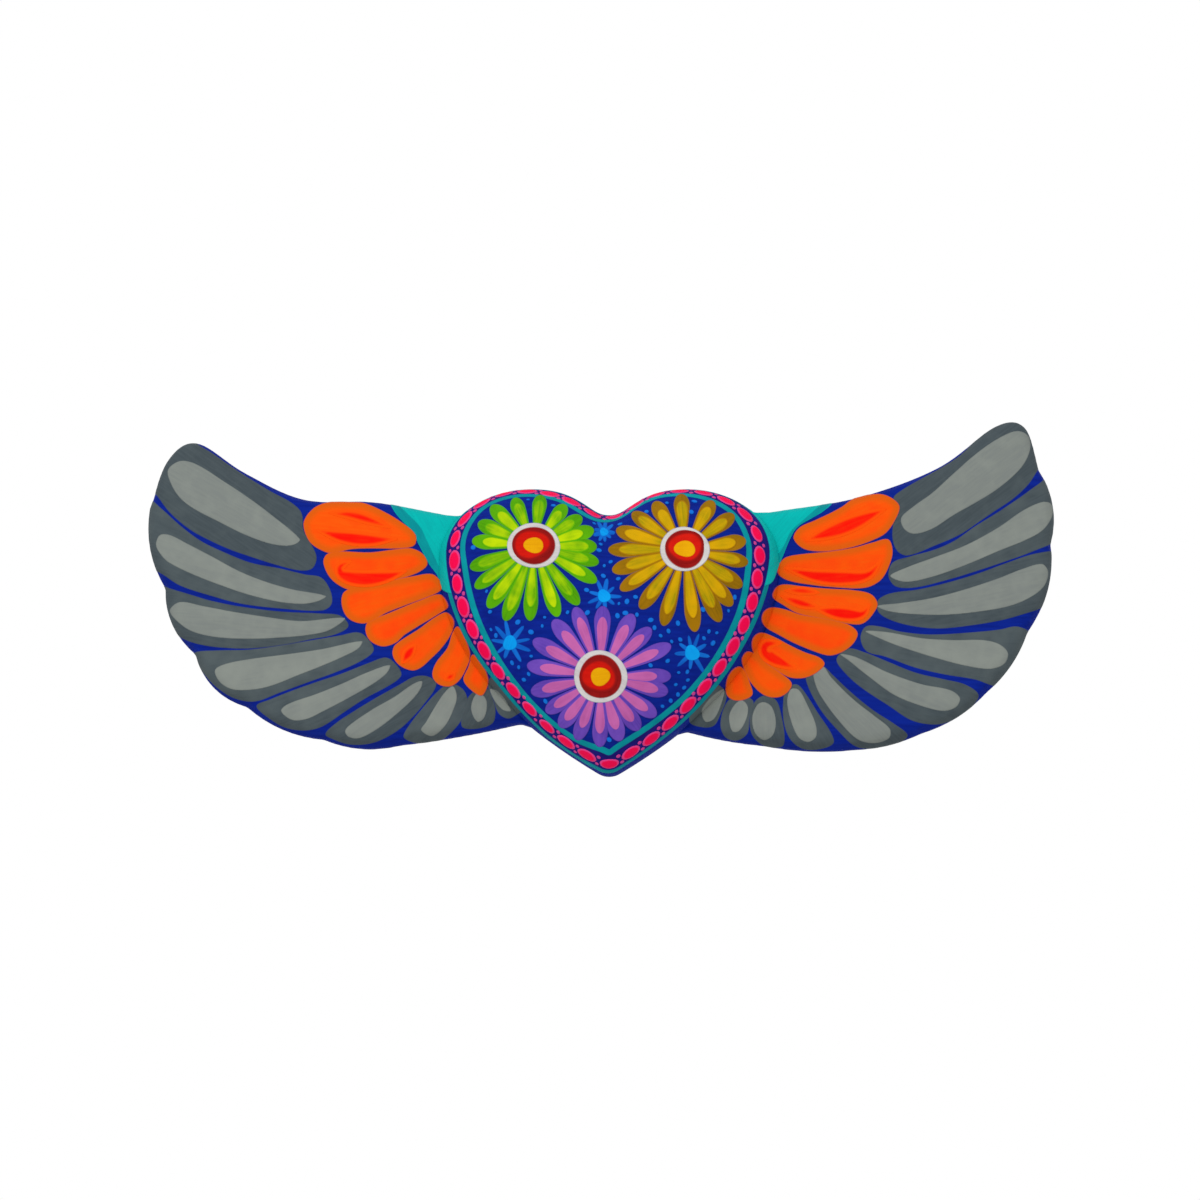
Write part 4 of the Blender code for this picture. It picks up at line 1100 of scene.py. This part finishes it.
def pressed_touch(name, length, width, rise, sides):
    """One press of a loaded brush: a low oval dome with a sunk foot. Its points keep their rise and their
    share of its radius."""
    rings = [(1.0, -COAT_ROOT)] + [(share, part * rise) for share, part in DOME_PROFILE]
    points, rises, shares = [], [], []
    for share, height in rings:
        for turn in np.linspace(0, 2 * math.pi, sides, endpoint=False):
            x = math.cos(turn) * share * length * MM / 2
            y = math.sin(turn) * share * width * MM / 2
            points.append((x, y, height))
            rises.append(height)
            shares.append(share)
    faces = []
    for low in range(0, (len(rings) - 1) * sides, sides):
        high = low + sides
        faces += [[low + i, low + (i + 1) % sides, high + (i + 1) % sides, high + i] for i in range(sides)]
    faces.append(list(range(sides))[::-1])
    faces.append([(len(rings) - 1) * sides + i for i in range(sides)])
    mesh = bpy.data.meshes.new(name)
    mesh.from_pydata(points, [], faces)
    keep_values(mesh, "rise", rises)
    keep_values(mesh, "share", shares)
    return new_piece(name, mesh)


def skin_below(tree, skin):
    """The place of each point, and the normal of the skin nearest to it."""
    place = add(tree, "GeometryNodeInputPosition")[0]
    skin_normal = add(tree, "GeometryNodeInputNormal")[0]
    sampled = {"Mesh": skin, "Value": skin_normal, "Sample Position": place}
    return place, add(tree, "GeometryNodeSampleNearestSurface", sampled, data_type="FLOAT_VECTOR")[0]


def settle(tree, touches, skin):
    """Lays realised touches on a skin: each point goes to the nearest place on it, and up by its rise."""
    whole = add(tree, "GeometryNodeRealizeInstances", {"Geometry": touches})[0]
    place, normal = skin_below(tree, skin)
    foot = add(tree, "GeometryNodeProximity", {0: skin, "Sample Position": place}, target_element="FACES")
    rise = add(tree, "GeometryNodeInputNamedAttribute", {"Name": "rise"}, data_type="FLOAT")["Attribute"]
    up = add(tree, "ShaderNodeVectorMath", {0: normal, "Scale": rise}, operation="SCALE")[0]
    lifted = add(tree, "ShaderNodeVectorMath", {0: foot["Position"], 1: up}, operation="ADD")[0]
    return add(tree, "GeometryNodeSetPosition", {"Geometry": whole, "Position": lifted})[0]


def numbered(tree, instances, seed):
    """Gives each instance a random number of its own, called stroke, for its tone."""
    own = add(tree, "FunctionNodeRandomValue", {"Seed": seed}, data_type="FLOAT")["Value"]
    named = {"Geometry": instances, "Name": "stroke", "Value": own}
    return add(tree, "GeometryNodeStoreNamedAttribute", named, data_type="FLOAT", domain="INSTANCE")[0]


def touches_along():
    """Touches of the brush at even steps along a line on a skin, turned with the line, or halfway between
    the steps and aside of it."""
    tree, given = new_tree("touches_along_a_line", {
        "Skin": "Object", "Touch": "Object", "Count": "Int", "Half step": "Int", "Aside": "Float",
        "Size spread": "Float", "Seed": "Int", "Finish": "Material"})
    skin = add(tree, "GeometryNodeObjectInfo", {"Object": given["Skin"]})["Geometry"]
    touch = add(tree, "GeometryNodeObjectInfo", {"Object": given["Touch"]})["Geometry"]
    curve = add(tree, "GeometryNodeMeshToCurve", {"Mesh": given["Geometry"]})[0]
    half_steps = add(tree, "ShaderNodeMath", {0: given["Count"], 1: 2}, operation="MULTIPLY")[0]
    stepped = add(tree, "GeometryNodeCurveToPoints", {"Curve": curve, "Count": half_steps}, mode="COUNT")
    normal = skin_below(tree, skin)[1]
    tangent = stepped["Tangent"]
    beside = add(tree, "ShaderNodeVectorMath", {0: normal, 1: tangent}, operation="CROSS_PRODUCT")[0]
    shift = add(tree, "ShaderNodeVectorMath", {0: beside, "Scale": given["Aside"]}, operation="SCALE")[0]
    shifted = add(tree, "GeometryNodeSetPosition", {"Geometry": stepped["Points"], "Offset": shift})[0]
    index = add(tree, "GeometryNodeInputIndex")[0]
    parity = add(tree, "ShaderNodeMath", {0: index, 1: 2}, operation="MODULO")[0]
    nearly = 0.1
    wanted = {0: parity, 1: given["Half step"], 2: nearly}
    chosen = add(tree, "ShaderNodeMath", wanted, operation="COMPARE")[0]
    turned = add(tree, "FunctionNodeAxesToRotation", {"Primary Axis": normal, "Secondary Axis": tangent},
                 primary_axis="Z", secondary_axis="X")[0]
    least = add(tree, "ShaderNodeMath", {0: 1, 1: given["Size spread"]}, operation="SUBTRACT")[0]
    most = add(tree, "ShaderNodeMath", {0: 1, 1: given["Size spread"]}, operation="ADD")[0]
    sizes = {2: least, 3: most, "Seed": given["Seed"]}
    size = add(tree, "FunctionNodeRandomValue", sizes, data_type="FLOAT")["Value"]
    touches = add(tree, "GeometryNodeInstanceOnPoints", {
        "Points": shifted, "Selection": chosen, "Instance": touch, "Rotation": turned, "Scale": size})[0]
    laid = settle(tree, numbered(tree, touches, given["Seed"]), skin)
    return finish_tree(tree, laid, given["Finish"])


def pressed_acrylic(name, body, rim, rim_start):
    """Thick acrylic pressed from a round brush: a full, nearly matt dome, paler towards the rim, where the
    paint was pushed out thin. Each press has a slightly different tone."""
    material, tree = new_material(name)
    share = add(tree, "ShaderNodeAttribute", attribute_name="share")["Fac"]
    stroke = add(tree, "ShaderNodeAttribute", attribute_name="stroke")["Fac"]
    place = add(tree, "ShaderNodeTexCoord")["Object"]
    mottle_scale = 1 / (1.2 * MM)
    mottle = add(tree, "ShaderNodeTexNoise", {"Vector": place, "Scale": mottle_scale, "Detail": 2})["Fac"]
    uneven = add(tree, "ShaderNodeMath", {0: mottle, 1: UNEVEN_RIM, 2: share}, operation="MULTIPLY_ADD")[0]
    rim_range = {"Value": uneven, "From Min": rim_start, "From Max": rim_start + RIM_FADE}
    rim_share = add(tree, "ShaderNodeMapRange", rim_range)[0]
    colour = add(tree, "ShaderNodeMix", {"Factor": rim_share, MIX_A: linear(body), MIX_B: linear(rim)},
                 data_type="RGBA")[MIX_RESULT]
    level = add(tree, "ShaderNodeMapRange", {"Value": stroke, "To Min": 0.92, "To Max": 1.0})[0]
    toned = add(tree, "ShaderNodeHueSaturation", {"Color": colour, "Value": level})[0]
    dullness = add(tree, "ShaderNodeMapRange", {"Value": mottle, "To Min": 0.6, "To Max": 0.75})[0]
    relief = add(tree, "ShaderNodeBump", {"Height": mottle, "Strength": 0.2, "Distance": 0.05 * MM})[0]
    finish_material(tree, {"Base Color": toned, "Roughness": dullness, "Normal": relief,
                           "Specular IOR Level": PAINT_GLOSS})
    return material


def bead_line():
    """The closed line on the heart's face that the beads follow, as a mesh of points and edges."""
    run = np.roll(heart_plan, -1, 0) - np.roll(heart_plan, 1, 0)
    inward = np.column_stack([-run[:, 1], run[:, 0]]) / np.linalg.norm(run, axis=1)[:, None]
    insets = border_course(np.linspace(0, 360, len(heart_plan), endpoint=False))[1]
    spots = heart_plan + inward * insets[:, None]
    spots = spots[depth_in(heart_plan, spots) > ON_COURSE * insets]
    face = BVHTree.FromPolygons(heart_skin.points, heart_skin.faces.tolist())
    points = [face.ray_cast(Vector((x * MM, WELL_IN_FRONT, z * MM)), TO_THE_WALL)[0] for x, z in spots]
    mesh = bpy.data.meshes.new("bead_line")
    mesh.from_pydata(points, [(i, (i + 1) % len(points)) for i in range(len(points))], [])
    return mesh


heart_skin = skin_of(heart, "heart_paint", lambda points, normals: (-points[:, 1] - EDGE_DEPTH) / MM)
line_teal = brushed_acrylic("teal_line_acrylic", LINE_TEAL, VIOLET[0])
violet = brushed_acrylic("violet_lane_acrylic", VIOLET, BASE_BLUE)
in_lane = border_mark(lambda past_outer, to_inner: np.minimum(past_outer, to_inner))
on_outer = border_mark(lambda past_outer, to_inner: LINE_HALF_WIDTH - abs(past_outer))
on_inner = border_mark(lambda past_outer, to_inner: LINE_HALF_WIDTH - abs(to_inner))
to_lane = border_mark(lambda past_outer, to_inner: LINE_HALF_WIDTH - past_outer)
to_line = border_mark(lambda past_outer, to_inner: -LINE_HALF_WIDTH - past_outer)
lay_paint("bead_lane", heart_skin, [in_lane], 0, violet, EVERYWHERE, splits=0)
lay_paint("border_lines", heart_skin, [on_outer, on_inner], LINE_COATS_UNDER, line_teal, EVERYWHERE)
flank_dark = LEFT_DARK_FEATHERS[-2:] + RIGHT_DARK_FEATHERS[-2:]
flank_light = LEFT_LIGHT_FEATHERS[-1:] + RIGHT_LIGHT_FEATHERS[-1:]
flank_short = LEFT_SHORT_FEATHERS[2:] + RIGHT_SHORT_FEATHERS[1:]
for name, limit, outlines, coats, paint in (
    ("flank_shoulders", to_lane, SHOULDERS.values(), FLANK_COATS_UNDER, turquoise),
    ("flank_dark_feathers", to_line, flank_dark, 0, dark_grey),
    ("flank_light_feathers", to_line, flank_light, LIGHT_COATS_UNDER, light_grey),
    ("flank_short_feathers", to_line, flank_short, ORANGE_COATS_UNDER, orange),
):
    marks = [within(traced(smooth_outline(outline), FEATHER_SPREAD), limit) for outline in outlines]
    lay_paint(name, heart_skin, marks, coats, paint, IN_SIGHT)
bead_touch = pressed_touch("bead_touch", BEAD_LENGTH, BEAD_WIDTH, BEAD_RISE, BEAD_SIDES)
dot_touch = pressed_touch("dot_touch", BEAD_DOT_WIDTH, BEAD_DOT_WIDTH, BEAD_RISE, BEAD_DOT_SIDES)
along_line = touches_along()
bead_pink = pressed_acrylic("bead_pink_acrylic", BEAD_PINK, BEAD_RIM, BEAD_RIM_START)
dot_pink = pressed_acrylic("dot_pink_acrylic", DOT_PINK, BEAD_RIM, DOT_RIM_START)
for name, touch, half_step, aside, paint in (
    ("border_beads", bead_touch, 0, 0, bead_pink),
    ("outer_bead_dots", dot_touch, 1, BEAD_DOT_ASIDE, dot_pink),
    ("inner_bead_dots", dot_touch, 1, -BEAD_DOT_ASIDE, dot_pink),
):
    row = new_piece(name, bead_line())
    grow(row, along_line, {"Skin": heart, "Touch": touch, "Count": BEAD_COUNT, "Half step": half_step,
                           "Aside": aside, "Size spread": BEAD_SPREAD, "Seed": BEAD_SEED,
                           "Finish": paint})
    painted_on(row)
bpy.data.objects.remove(bead_touch)
bpy.data.objects.remove(dot_touch)


# Three daisies fill the heart. Each petal is one dark pull of the brush from the middle out, with a shorter
# light pull on top, and the eye is a white disc, a dark red one, a bright red one and a yellow spot. Middles,
# radii, tips and widths are in pixels of the camera's frame.
PETAL_START = 0.8
PETAL_ROOT = 0.42
PETAL_FULLEST = 0.68
PETAL_SWELL = 1.4
PETAL_SPREAD = (0.94, 1.06)
PETAL_COATS_UNDER = 2.5
PETAL_LIGHT_COATS_UNDER = 3.9
DRAWING_SEED = 12
Daisy = collections.namedtuple("Daisy", "name middle white red bright_middle bright yellow tips width "
                                        "light_length light_width dark light softness")
DAISIES = [
    Daisy("green", (534, 546), (26.5, 22.5), (21.5, 19), (532, 545), (19.5, 16.5), (9.7, 8.2),
          [(541, 495), (566, 505), (582, 517), (594, 530), (597, 547), (599, 563), (597, 582), (579, 605),
           (558, 617), (530, 621), (505, 621), (488, 608), (475, 588), (470, 568), (472, 541), (478, 523),
           (491, 506), (514, 498)],
          15.6, 0.8, 0.76, ("#52a305", "#489306", "#5cb006"), ("#86be04", "#63a406", "#c4de04"), 0.7),
    Daisy("gold", (684.5, 549.5), (24.5, 22.5), (19.5, 19.5), (685, 547.5), (18.5, 17), (10.5, 8.3),
          [(681, 494), (713, 501), (734, 515), (746, 541), (748, 563), (742, 587), (732, 606), (720, 622),
           (695, 632), (663, 626), (640, 609), (620, 590), (612, 571), (608, 550), (616, 530), (632, 513),
           (654, 502)],
          15.8, 0.8, 0.8, ("#976c06", "#836106", "#a57407"), ("#c39f04", "#9e8d06", "#dba604"), 0.7),
    Daisy("purple", (600.5, 676.5), (26.5, 26.5), (21, 22), (599, 676), (18.5, 17.5), (10, 9),
          [(603, 606), (633, 614), (651, 628), (671, 645), (671, 676), (668, 692), (656, 716), (639, 730),
           (620, 741), (600, 747), (577, 740), (560, 727), (546, 712), (531, 692), (527, 665), (533, 640),
           (553, 620), (575, 607)],
          16.6, 0.76, 0.68, ("#6a47b6", "#5c3ea8", "#754fbe"), ("#c263a9", "#b6599f", "#cc6ab1"), 0.3),
]
WHITE = ("#d2cecd", "#c5c0c1", "#dbd8d5")
# The bright red disc is smaller than the dark red one and sits a little higher, so a dark red rim shows round
# each eye, mostly along its lower side.
EYE_SHADE = ("#8f1312", "#7f0f10", "#9c1816")
EYE_RED = ("#d0160b", "#c21208", "#da1e10")
EYE_YELLOW = ("#e8a604", "#df9b03", "#eeaf06")
EYE_SOFTNESS = 1.6
EYE_WOBBLE = 0.015
SPOT_WOBBLE = 0.04
WOBBLE_PHASE = 6
TO_THE_EYE = 0.03


def petal_pull(root, tip, width, count=30, blunt=1.0001):
    """A petal: narrow at the root, fullest past its middle, and round at the tip."""
    share = 0.5 - 0.5 * np.cos(np.linspace(0, math.pi, count))
    line = np.array(root) + (np.array(tip) - root) * share[:, None]
    grown = np.clip(share / PETAL_FULLEST, 0, 1)
    swell = PETAL_ROOT + (1 - PETAL_ROOT) * grown * (PETAL_SWELL - (PETAL_SWELL - 1) * grown)
    past = np.clip((share - PETAL_FULLEST) / (1 - PETAL_FULLEST), 0, 1)
    return brush_pull(line, width / 2 * swell * np.sqrt(blunt - past**2))


def disc(middle, radii, wobble, count=40):
    """A hand painted disc: an oval with a slow wobble."""
    turn = np.linspace(0, 2 * math.pi, count, endpoint=False)
    twice = np.sin(2 * turn + draws.uniform(0, WOBBLE_PHASE))
    thrice = np.sin(3 * turn + draws.uniform(0, WOBBLE_PHASE))
    uneven = 1 + wobble * twice + wobble * thrice
    return np.array(middle) + np.column_stack([np.cos(turn), np.sin(turn)]) * radii * uneven[:, None]


draws = np.random.default_rng(DRAWING_SEED)
flower_marks = []
eyes = {"white": [], "dark_red": [], "red": [], "yellow": []}
for daisy in DAISIES:
    dark_marks, light_marks = [], []
    for tip in daisy.tips:
        away = np.array(tip) - daisy.middle
        root = daisy.middle + away * (PETAL_START * min(daisy.white) / np.linalg.norm(away))
        width = daisy.width * draws.uniform(*PETAL_SPREAD)
        dark_marks.append(traced(petal_pull(root, tip, width)))
        light_tip = root + (np.array(tip) - root) * daisy.light_length * draws.uniform(*PETAL_SPREAD)
        light_marks.append(traced(petal_pull(root, light_tip, width * daisy.light_width)))
    dark_paint = brushed_acrylic(daisy.name + "_acrylic", daisy.dark, BASE_BLUE)
    light_paint = brushed_acrylic("light_" + daisy.name + "_acrylic", daisy.light, daisy.dark[0],
                                  daisy.dark[2], daisy.softness)
    for part, marks, coats, paint in (
        ("_petals", dark_marks, PETAL_COATS_UNDER, dark_paint),
        ("_petal_lights", light_marks, PETAL_LIGHT_COATS_UNDER, light_paint),
    ):
        lay_paint(daisy.name + part, heart_skin, marks, coats, paint, TO_THE_EYE)
    for name, middle, radii, wobble in (
        ("white", daisy.middle, daisy.white, EYE_WOBBLE),
        ("dark_red", daisy.middle, daisy.red, EYE_WOBBLE),
        ("red", daisy.bright_middle, daisy.bright, SPOT_WOBBLE),
        ("yellow", daisy.middle, daisy.yellow, SPOT_WOBBLE),
    ):
        eyes[name].append(traced(disc(middle, radii, wobble)))
    flower_marks += dark_marks + eyes["white"][-1:]
for name, coats, colours, under, soft_rim in (
    ("white", 5.3, WHITE, BASE_BLUE, None),
    ("dark_red", 6.7, EYE_SHADE, WHITE[0], None),
    ("red", 8.1, EYE_RED, EYE_SHADE[0], EYE_SHADE[0]),
    ("yellow", 9.5, EYE_YELLOW, EYE_RED[0], None),
):
    paint = brushed_acrylic(name + "_eye_acrylic", colours, under, soft_rim, EYE_SOFTNESS)
    lay_paint("daisy_eyes_" + name, heart_skin, eyes[name], coats, paint, TO_THE_EYE)


# Between the daisies four stars are drawn in light blue on the ground, each with a paler middle, and small
# dabs of the same blue are scattered over what is left of the ground. Stars have their middle and reach in
# pixels of the camera's frame.
STARS = [((604, 532), 12), ((604, 596), 18), ((510, 643), 20), ((692, 653), 21)]
STAR_RAYS = 9
STAR_RAY_WIDTH = 5.2
STAR_RAY_TAPER = 0.3
STAR_RAY_DRIFT = 0.15
STAR_RAY_LENGTHS = (0.75, 1.2)
STAR_RAY_WIDTHS = (0.85, 1.15)
STAR_MIDDLE = 0.36
STAR_WOBBLE = 0.06
STAR_SPLITS = 2
STAR_MIDDLE_COATS_UNDER = 1.4
STAR_BLUE = ("#0c66cc", "#0b5abd", "#1272d8")
STAR_PALE = ("#049ef2", "#068fe6", "#0ca6f5")
DAB_LENGTH = 2.0
DAB_WIDTH = 1.6
DAB_SIDES = 10
DAB_SMALLEST = 0.65
DAB_LARGEST = 1.15
DAB_RIM_START = 0.78
DAB_SEED = 4
DABS_APART = 2.7 * MM
DAB_CLEARANCE = 0.7
DAB_DENSITY = 300000


def star_ray(middle, reach, turn, width, count=12, blunt=1.001, roundness=8):
    """One ray: a short pull out from the star's middle that narrows to a blunt tip."""
    share = np.linspace(0, 1, count)
    line = np.array(middle) + np.outer(share * reach, (math.cos(turn), math.sin(turn)))
    return brush_pull(line, width / 2 * (1 - STAR_RAY_TAPER * share) * np.sqrt(blunt - share**roundness))


def touches_over():
    """Touches of the brush scattered over the open part of a skin, no closer than a set distance."""
    tree, given = new_tree("touches_over_a_face", {
        "Touch": "Object", "Apart": "Float", "Density": "Float", "Smallest": "Float", "Largest": "Float",
        "Seed": "Int", "Finish": "Material"})
    skin = given["Geometry"]
    touch = add(tree, "GeometryNodeObjectInfo", {"Object": given["Touch"]})["Geometry"]
    room = add(tree, "GeometryNodeInputNamedAttribute", {"Name": "room"}, data_type="FLOAT")["Attribute"]
    open_ground = add(tree, "ShaderNodeMath", {0: room, 1: 0}, operation="GREATER_THAN")[0]
    spread = add(tree, "GeometryNodeDistributePointsOnFaces", {
        "Mesh": skin, "Selection": open_ground, "Distance Min": given["Apart"],
        "Density Max": given["Density"], "Seed": given["Seed"]}, distribute_method="POISSON")
    sizes = {2: given["Smallest"], 3: given["Largest"], "Seed": given["Seed"]}
    size = add(tree, "FunctionNodeRandomValue", sizes, data_type="FLOAT")["Value"]
    turns = {"Max": (0, 0, math.pi), "Seed": given["Seed"]}
    turn = add(tree, "FunctionNodeRandomValue", turns, data_type="FLOAT_VECTOR")["Value"]
    spun = add(tree, "FunctionNodeRotateRotation", {"Rotation": spread["Rotation"], "Rotate By": turn},
               rotation_space="LOCAL")[0]
    touches = add(tree, "GeometryNodeInstanceOnPoints", {
        "Points": spread["Points"], "Instance": touch, "Rotation": spun, "Scale": size})[0]
    laid = settle(tree, numbered(tree, touches, given["Seed"]), skin)
    return finish_tree(tree, laid, given["Finish"])


rays, middles = [], []
for middle, reach in STARS:
    first = draws.uniform(0, 2 * math.pi / STAR_RAYS)
    for number in range(STAR_RAYS):
        drift = draws.uniform(-STAR_RAY_DRIFT, STAR_RAY_DRIFT)
        turn = first + 2 * math.pi * (number + drift) / STAR_RAYS
        length = reach * draws.uniform(*STAR_RAY_LENGTHS)
        width = STAR_RAY_WIDTH * draws.uniform(*STAR_RAY_WIDTHS)
        rays.append(traced(star_ray(middle, length, turn, width)))
    middles.append(traced(disc(middle, (reach * STAR_MIDDLE, reach * STAR_MIDDLE), STAR_WOBBLE)))
star_blue = brushed_acrylic("sky_blue_acrylic", STAR_BLUE, BASE_BLUE)
star_pale = brushed_acrylic("pale_blue_acrylic", STAR_PALE, STAR_BLUE[0])
lay_paint("star_rays", heart_skin, rays, 0, star_blue, TO_THE_EYE, STAR_SPLITS)
lay_paint("star_middles", heart_skin, middles, STAR_MIDDLE_COATS_UNDER, star_pale, TO_THE_EYE, STAR_SPLITS)

covered = np.full(len(heart_skin.points), FAR_OUTSIDE)
for mark in flower_marks + rays + middles:
    covered = np.maximum(covered, mark(heart_skin.points, heart_skin.normals)[:, 0])
inset, turns = border_place(heart_skin.points)
inside_border = inset - border_course(turns)[2] - LINE_HALF_WIDTH - DAB_CLEARANCE
in_front = -heart_skin.normals[:, 1] * FACING_TO_MM
room = np.minimum.reduce([-covered - DAB_CLEARANCE, inside_border, in_front, heart_skin.reach])
dab_touch = pressed_touch("dab_touch", DAB_LENGTH, DAB_WIDTH, BEAD_RISE, DAB_SIDES)
ground = new_piece("ground_dabs", heart.data.copy())
keep_values(ground.data, "room", room)
dab_blue = pressed_acrylic("dab_blue_acrylic", STAR_BLUE[2], STAR_BLUE[1], DAB_RIM_START)
grow(ground, touches_over(), {"Touch": dab_touch, "Apart": DABS_APART, "Density": DAB_DENSITY,
                              "Smallest": DAB_SMALLEST, "Largest": DAB_LARGEST, "Seed": DAB_SEED,
                              "Finish": dab_blue})
painted_on(ground)
bpy.data.objects.remove(dab_touch)


# The studio: a pale floor under the ornament, a wide soft lamp in front, and an even white light all round.
# The camera, gloss and glass see the surroundings as plain white, and the floor keeps the ornament's shadow.
FLOOR_DEPTH = 0.45
FLOOR_RADIUS = 0.75
FLOOR_SIDES = 64
FLOOR_FADE_START = 0.4
FLOOR_FADE_END = 0.95
FLOOR_GREY = "#dedddb"
LAMP_PLACE = Vector((-0.35, -1.15, 0.5))
LAMP_WIDTH = 0.9
LAMP_POWER = 6
LIGHT_BELOW = 0.76
LIGHT_ABOVE = 0.74
LIGHT_BELOW_HEIGHT = -0.6
LIGHT_ABOVE_HEIGHT = 0.5


def white_to_the_eye(tree):
    """1 for rays that come from the camera, from gloss or through glass."""
    path = add(tree, "ShaderNodeLightPath")
    first = {0: path["Is Camera Ray"], 1: path["Is Glossy Ray"]}
    gloss = add(tree, "ShaderNodeMath", first, operation="MAXIMUM")[0]
    return add(tree, "ShaderNodeMath", {0: gloss, 1: path["Is Transmission Ray"]}, operation="MAXIMUM")[0]


def pale_floor():
    """Matt off-white paper sweep with a faint tooth, which goes over into the white round it at its rim."""
    material, tree = new_material("matt_paper_sweep")
    place = add(tree, "ShaderNodeTexCoord")["Object"]
    flat = add(tree, "ShaderNodeVectorMath", {0: place, 1: (1, 1, 0)}, operation="MULTIPLY")[0]
    out = add(tree, "ShaderNodeVectorMath", {0: flat}, operation="LENGTH")["Value"]
    tooth_scale = 1 / (2 * MM)
    tooth = add(tree, "ShaderNodeTexNoise", {"Vector": place, "Scale": tooth_scale})["Fac"]
    relief = add(tree, "ShaderNodeBump", {"Height": tooth, "Strength": 0.05, "Distance": 0.1 * MM})[0]
    paper = add(tree, "ShaderNodeBsdfDiffuse", {"Color": linear(FLOOR_GREY), "Normal": relief})[0]
    white = add(tree, "ShaderNodeEmission", {"Strength": 1})[0]
    fade = {"Value": out, "From Min": FLOOR_RADIUS * FLOOR_FADE_START,
            "From Max": FLOOR_RADIUS * FLOOR_FADE_END}
    share = add(tree, "ShaderNodeMapRange", fade, interpolation_type="SMOOTHSTEP")[0]
    seen = add(tree, "ShaderNodeMath", {0: share, 1: white_to_the_eye(tree)}, operation="MULTIPLY")[0]
    surface = add(tree, "ShaderNodeMixShader", {0: seen, 1: paper, 2: white})[0]
    add(tree, "ShaderNodeOutputMaterial", {"Surface": surface})
    return material


floor_rim = [(FLOOR_RADIUS * math.cos(turn), FLOOR_RADIUS * math.sin(turn), -FLOOR_DEPTH)
             for turn in np.linspace(0, 2 * math.pi, FLOOR_SIDES, endpoint=False)]
floor_mesh = bpy.data.meshes.new("floor")
floor_mesh.from_pydata(floor_rim, [], [list(range(FLOOR_SIDES))])
floor_mesh.materials.append(pale_floor())
new_piece("floor", floor_mesh)

lamp_data = bpy.data.lights.new("soft_lamp", "AREA")
lamp_data.energy = LAMP_POWER
lamp_data.size = LAMP_WIDTH
lamp = bpy.data.objects.new("soft_lamp", lamp_data)
lamp.location = LAMP_PLACE
lamp.rotation_euler = (EYE_TARGET - LAMP_PLACE).to_track_quat("-Z", "Y").to_euler()
bpy.context.scene.collection.objects.link(lamp)

world = bpy.data.worlds.new("white_studio")
world.use_nodes = True
world.node_tree.nodes.clear()
surroundings = world.node_tree
seen_white = white_to_the_eye(surroundings)
direction = add(surroundings, "ShaderNodeTexCoord")["Generated"]
height = add(surroundings, "ShaderNodeSeparateXYZ", {"Vector": direction})["Z"]
all_round = add(surroundings, "ShaderNodeMapRange", {
    "Value": height, "From Min": LIGHT_BELOW_HEIGHT, "From Max": LIGHT_ABOVE_HEIGHT,
    "To Min": LIGHT_BELOW, "To Max": LIGHT_ABOVE})[0]
seen = {"Value": seen_white, "To Min": all_round, "To Max": 1}
brightness = add(surroundings, "ShaderNodeMapRange", seen)[0]
sky = add(surroundings, "ShaderNodeBackground", {"Color": (1, 1, 1, 1), "Strength": brightness})[0]
add(surroundings, "ShaderNodeOutputWorld", {"Surface": sky})
bpy.context.scene.world = world
bpy.context.scene.view_settings.view_transform = "Standard"
